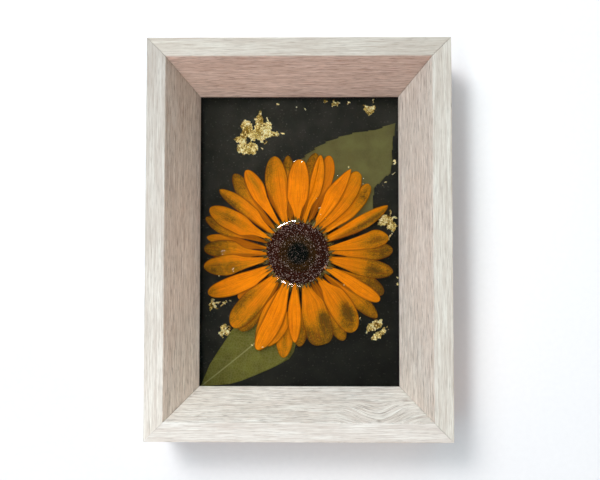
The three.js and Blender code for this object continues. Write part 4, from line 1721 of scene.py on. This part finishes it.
@dataclass(frozen=True)
class GoldFlakes:
    """Torn and crumpled gold leaf that floats at the board's face, in clusters and as specks."""

    scraps: tuple[Scrap, ...] = (
        Scrap("gold_cluster_upper_left", (
            Lobe(-21.7, 63.8, 5.6, 8.4), Lobe(-21.4, 68.4, 2.5, 3.8), Lobe(-28.5, 61.4, 6.2, 8.6, 14),
            Lobe(-17.2, 61.7, 5.6, 5.8, -40), Lobe(-13.4, 57.8, 5.6, 3.2), Lobe(-31.7, 54.9, 7.2, 3.8),
            Lobe(-23.3, 57.6, 18.6, 6.6, 3), Lobe(-28.4, 50.2, 11.6, 7.6), Lobe(-20.6, 54.2, 1.9, 3.0, 20),
            Lobe(-18.1, 53.4, 1.3, 2.8, -30)),
            holes=(Lobe(-27.7, 54.1, 2.0, 2.6), Lobe(-23.2, 54.4, 1.7, 1.1, 10),
                   Lobe(-25.2, 63.6, 1.3, 6.8, 6)), height=1.1),
        Scrap("gold_slivers_upper_left", (
            Lobe(-17.4, 65.9, 3.4, 0.9, -65), Lobe(-8.9, 58.1, 2.7, 1.1, -12),
            Lobe(-20.2, 50.0, 1.9, 0.9, -40), Lobe(-11.7, 74.1, 2.3, 1.3, -25),
            Lobe(-1.7, 72.5, 1.0, 1.3), Lobe(3.1, 71.3, 1.6, 0.8, -55)),
            height=0.5, crumple=0.06, torn=0.4, shard=0.6, flat=True),
        Scrap("gold_flakes_top", (
            Lobe(14.0, 75.5, 2.6, 1.7, 20), Lobe(15.2, 76.3, 1.5, 1.0, 20), Lobe(18.9, 74.0, 3.9, 2.8, 5),
            Lobe(18.3, 75.4, 1.3, 2.0, 15), Lobe(20.9, 75.0, 2.1, 1.4, -35), Lobe(26.5, 74.7, 2.4, 1.0, 45)),
            height=0.6, crumple=0.4, shard=0.9),
        Scrap("gold_flake_top_right", (
            Lobe(37.6, 71.8, 6.4, 3.1, 5), Lobe(35.3, 72.9, 1.9, 2.7, 25), Lobe(38.2, 69.8, 3.3, 4.4, -20),
            Lobe(40.0, 71.8, 2.1, 3.9, -22), Lobe(36.2, 70.8, 2.6, 3.4, 35), Lobe(39.7, 75.0, 3.6, 0.8, 85),
            Lobe(39.8, 76.4, 1.4, 1.1)), height=0.7, shard=0.9),
        Scrap("gold_flakes_right", (
            Lobe(51.2, 42.6, 2.0, 2.9), Lobe(50.7, 36.3, 3.1, 0.8, 38), Lobe(46.3, 31.6, 2.0, 1.0, 15),
            Lobe(44.9, 30.1, 1.1, 0.7, 20), Lobe(52.6, -19.7, 1.4, 1.2), Lobe(52.6, -23.2, 1.4, 1.8, 20)),
            holes=(Lobe(50.7, 42.3, 0.9, 0.9),), height=0.5, crumple=0.06, torn=0.4, shard=0.6, flat=True),
        Scrap("gold_cluster_right", (
            Lobe(46.6, 10.8, 8.0, 6.4, 8), Lobe(49.0, 8.3, 6.2, 5.4, -20), Lobe(43.6, 9.3, 4.2, 2.4),
            Lobe(49.8, 5.9, 2.4, 2.8, 30), Lobe(51.1, 12.8, 2.8, 1.1, -28), Lobe(48.8, 15.0, 4.4, 0.9, 88),
            Lobe(48.6, 2.3, 4.6, 1.1, 62), Lobe(48.0, 0.5, 1.6, 1.3), Lobe(46.9, 13.7, 2.0, 1.0, -10)),
            holes=(Lobe(46.2, 7.7, 1.1, 1.0), Lobe(50.6, 11.4, 1.0, 1.5, 30)), height=1.9, crumple=0.5),
        Scrap("gold_pair_lower_right", (
            Lobe(39.9, -45.4, 7.8, 5.2, 28), Lobe(43.0, -43.6, 2.9, 4.0, -8), Lobe(36.0, -48.2, 3.6, 1.2, 58),
            Lobe(42.8, -46.2, 1.8, 1.4), Lobe(41.4, -50.9, 6.6, 3.8, 22), Lobe(44.3, -48.8, 5.2, 3.3, 48),
            Lobe(46.9, -46.9, 2.0, 0.8, -38), Lobe(46.7, -45.8, 1.0, 0.9), Lobe(41.3, -52.8, 0.9, 1.7)),
            height=0.8),
        Scrap("gold_flakes_lower_left", (
            Lobe(-46.7, -34.4, 3.1, 4.6, -6), Lobe(-46.6, -31.9, 2.1, 2.1), Lobe(-44.9, -35.6, 2.8, 1.8, -50),
            Lobe(-47.7, -36.6, 1.6, 2.8, 5), Lobe(-43.7, -33.0, 3.6, 1.7, 18),
            Lobe(-40.4, -33.6, 5.4, 1.9, 35), Lobe(-37.2, -31.9, 1.0, 1.3, 20)),
            holes=(Lobe(-46.3, -36.9, 0.8, 1.7),), height=0.6, crumple=0.5, shard=0.9),
        Scrap("gold_knot_lower_left", (
            Lobe(-40.4, -47.3, 4.4, 5.4), Lobe(-41.6, -49.4, 2.6, 3.2), Lobe(-37.4, -47.7, 1.6, 4.6, -8),
            Lobe(-38.8, -49.6, 3.4, 1.8, 25), Lobe(-41.3, -51.0, 1.6, 1.9), Lobe(-38.4, -50.8, 1.3, 1.3),
            Lobe(-37.5, -45.7, 1.9, 0.9, 25)), holes=(Lobe(-38.3, -46.7, 0.8, 1.7, -15),), shard=0.9),
        Scrap("gold_specks", (
            Lobe(-25.1, -55.6, 1.5, 1.0, -40), Lobe(-19.4, -56.7, 1.4, 0.9, -30),
            Lobe(-42.9, -18.9, 1.1, 0.9, 60), Lobe(23.8, -23.6, 1.5, 0.9, 70),
            Lobe(32.5, -41.2, 1.5, 1.0, 60), Lobe(26.6, 39.6, 1.3, 0.9, 80),
            Lobe(10.9, 17.6, 1.7, 1.0, 35), Lobe(11.4, 14.1, 1.2, 0.8, -20), Lobe(9.4, 22.9, 0.8, 0.6),
            Lobe(31.2, 22.8, 0.8, 0.6, 60), Lobe(34.1, 30.6, 1.0, 0.7, 20)),
            height=3.9, crumple=0.06, torn=0.4, shard=0.6, flat=True),
    )

    def build(self) -> None:
        """Builds every scrap and cluster."""
        crumpled = GoldLeaf().material()
        # A paler copy of the gold finish, painted as lit, for the flat slivers and specks.
        flat = GoldLeaf("beaten_gold_leaf_flat", deep="#F0DC9C", fold="#D8BE78").material()
        for scrap in self.scraps:
            scrap.build(flat if scrap.flat else crumpled)


# ---- Studio ----------------------------------------------------------------------------------------
ROSY: Colour = (1.0, 0.86, 0.82, 1.0)


@dataclass(frozen=True)
class SoftLight:
    """A rectangular softbox aimed at the frame's middle, placed by its direction from there."""

    name: str
    azimuth: float             # degrees anticlockwise from +X
    lean: float                # degrees from straight up
    distance: float            # metres
    wide: float                # metres across its direction
    tall: float                # metres along it
    watts: float
    colour: Colour = (1.0, 1.0, 1.0, 1.0)
    mirrored: bool = True      # whether glossy faces show it
    lighting: bool = True      # whether it lights matt faces, and what is sealed in the resin

    def build(self) -> None:
        """Adds the light."""
        around, down = math.radians(self.azimuth), math.radians(self.lean)
        toward = Vector((math.cos(around) * math.sin(down), math.sin(around) * math.sin(down),
                         math.cos(down)))
        side = Vector((-math.sin(around), math.cos(around), 0))
        data = bpy.data.lights.new(self.name, "AREA")
        data.shape = "RECTANGLE"
        data.size = self.wide
        data.size_y = self.tall
        data.energy = self.watts
        data.color = self.colour[:3]
        lamp = bpy.data.objects.new(self.name, data)
        lamp.matrix_world = Matrix.Translation(toward * self.distance) @ Matrix(
            (side, toward.cross(side), toward)).transposed().to_4x4()
        lamp.visible_glossy = self.mirrored
        lamp.visible_diffuse = self.lighting
        lamp.visible_transmission = self.lighting
        bpy.context.scene.collection.objects.link(lamp)


@dataclass
class Studio:
    """White ground, soft light from the upper left, warm fills from the sides, and the camera."""

    lens_share: float = 826 / 600           # focal length over the sensor's width
    sensor: float = 36.0
    eye: tuple[float, float, float] = (5.41, -20.05, 455.19)    # millimetres
    tilt: tuple[float, float, float] = (2.649, 0.655, 0.048)    # degrees from straight down
    sky: Colour = (0.069, 0.172, 0.276, 1.0)
    ground: float = 4.0                     # the paper's width, in metres
    lights: tuple[SoftLight, ...] = (
        SoftLight("key_left", 137, 30, 1.2, 0.38, 0.38, 6.0, mirrored=False),
        SoftLight("key_upper", 125, 27, 1.2, 0.32, 0.32, 3.0, (1.0, 0.88, 0.88, 1.0), mirrored=False),
        SoftLight("strip_left", 180, 17, 1.2, 1.0, 0.16, 5.5, (0.85, 1.0, 1.0, 1.0), mirrored=False),
        SoftLight("window_top", 90, 68, 1.5, 1.6, 0.5, 10.1, (0.95, 1.0, 0.95, 1.0)),
        SoftLight("fill_right", 0, 70, 1.5, 1.4, 0.5, 7.5, (0.95, 0.76, 0.52, 1.0)),
        SoftLight("fill_below", -90, 75, 1.5, 1.2, 0.3, 12.1, (0.95, 0.62, 0.46, 1.0)),
        SoftLight("glint_top_left", 124, 36.0, 1.2, 0.15, 0.022, 0.42, lighting=False),
        SoftLight("glint_top_middle", 112, 36.2, 1.2, 0.15, 0.022, 0.42, lighting=False),
        SoftLight("glint_top_right", 100, 36.4, 1.2, 0.15, 0.022, 0.42, lighting=False),
        SoftLight("glint_edges", 145, 43, 1.2, 0.50, 0.20, 14.0, lighting=False),
        SoftLight("glint_low_a", -132, 33.2, 1.2, 0.04, 0.016, 0.065, ROSY, lighting=False),
        SoftLight("glint_low_b", -118, 33.0, 1.2, 0.08, 0.016, 0.118, ROSY, lighting=False),
        SoftLight("glint_low_c", -104, 33.0, 1.2, 0.12, 0.016, 0.18, ROSY, lighting=False),
        SoftLight("glint_low_d", -89, 33.3, 1.2, 0.08, 0.016, 0.118, ROSY, lighting=False),
    )

    def build_ground(self) -> None:
        """Lays the white paper that the frame lies on."""
        mesh = bmesh.new()
        bmesh.ops.create_grid(mesh, x_segments=8, y_segments=8, size=self.ground / 2)
        data = bpy.data.meshes.new("ground_paper")
        mesh.to_mesh(data)
        mesh.free()
        data.materials.append(StudioPaper().material())
        ground = bpy.data.objects.new("ground_paper", data)
        bpy.context.scene.collection.objects.link(ground)

    def build_sky(self) -> None:
        """Sets an even dim surround, so that the cast sheet mirrors little."""
        world = bpy.data.worlds.new("dim_surround")
        bpy.context.scene.world = world
        world.cycles_visibility.glossy = False
        world.use_nodes = True
        world.node_tree.nodes.clear()
        sky = add_node(world.node_tree, "ShaderNodeBackground", {"Color": self.sky, "Strength": 1.0})
        add_node(world.node_tree, "ShaderNodeOutputWorld", {"Surface": sky.outputs[0]})

    def build_camera(self) -> None:
        """Places the camera above the frame, looking almost straight down."""
        data = bpy.data.cameras.new("camera")
        data.sensor_width = self.sensor
        data.lens = self.sensor * self.lens_share
        camera = bpy.data.objects.new("camera", data)
        camera.location = Vector(self.eye) * MM
        camera.rotation_euler = [math.radians(angle) for angle in self.tilt]
        bpy.context.scene.collection.objects.link(camera)
        bpy.context.scene.camera = camera

    def build(self) -> None:
        """Builds the camera, the ground, the surround and the lights."""
        bpy.context.scene.view_settings.view_transform = "Standard"
        self.build_camera()
        self.build_ground()
        self.build_sky()
        for light in self.lights:
            light.build()


def main() -> None:
    """Builds the studio and then the frame, from its rails inwards."""
    logging.basicConfig(level=logging.INFO, format="%(message)s")
    Studio().build()
    WoodenFrame().build()
    Boards().build()
    BackHardware().build()
    UPPER_LEAF.build()
    LOWER_LEAF.build()
    GoldFlakes().build()
    Flower().build()
    ResinSheet().build()


if __name__ == "__main__":
    main()
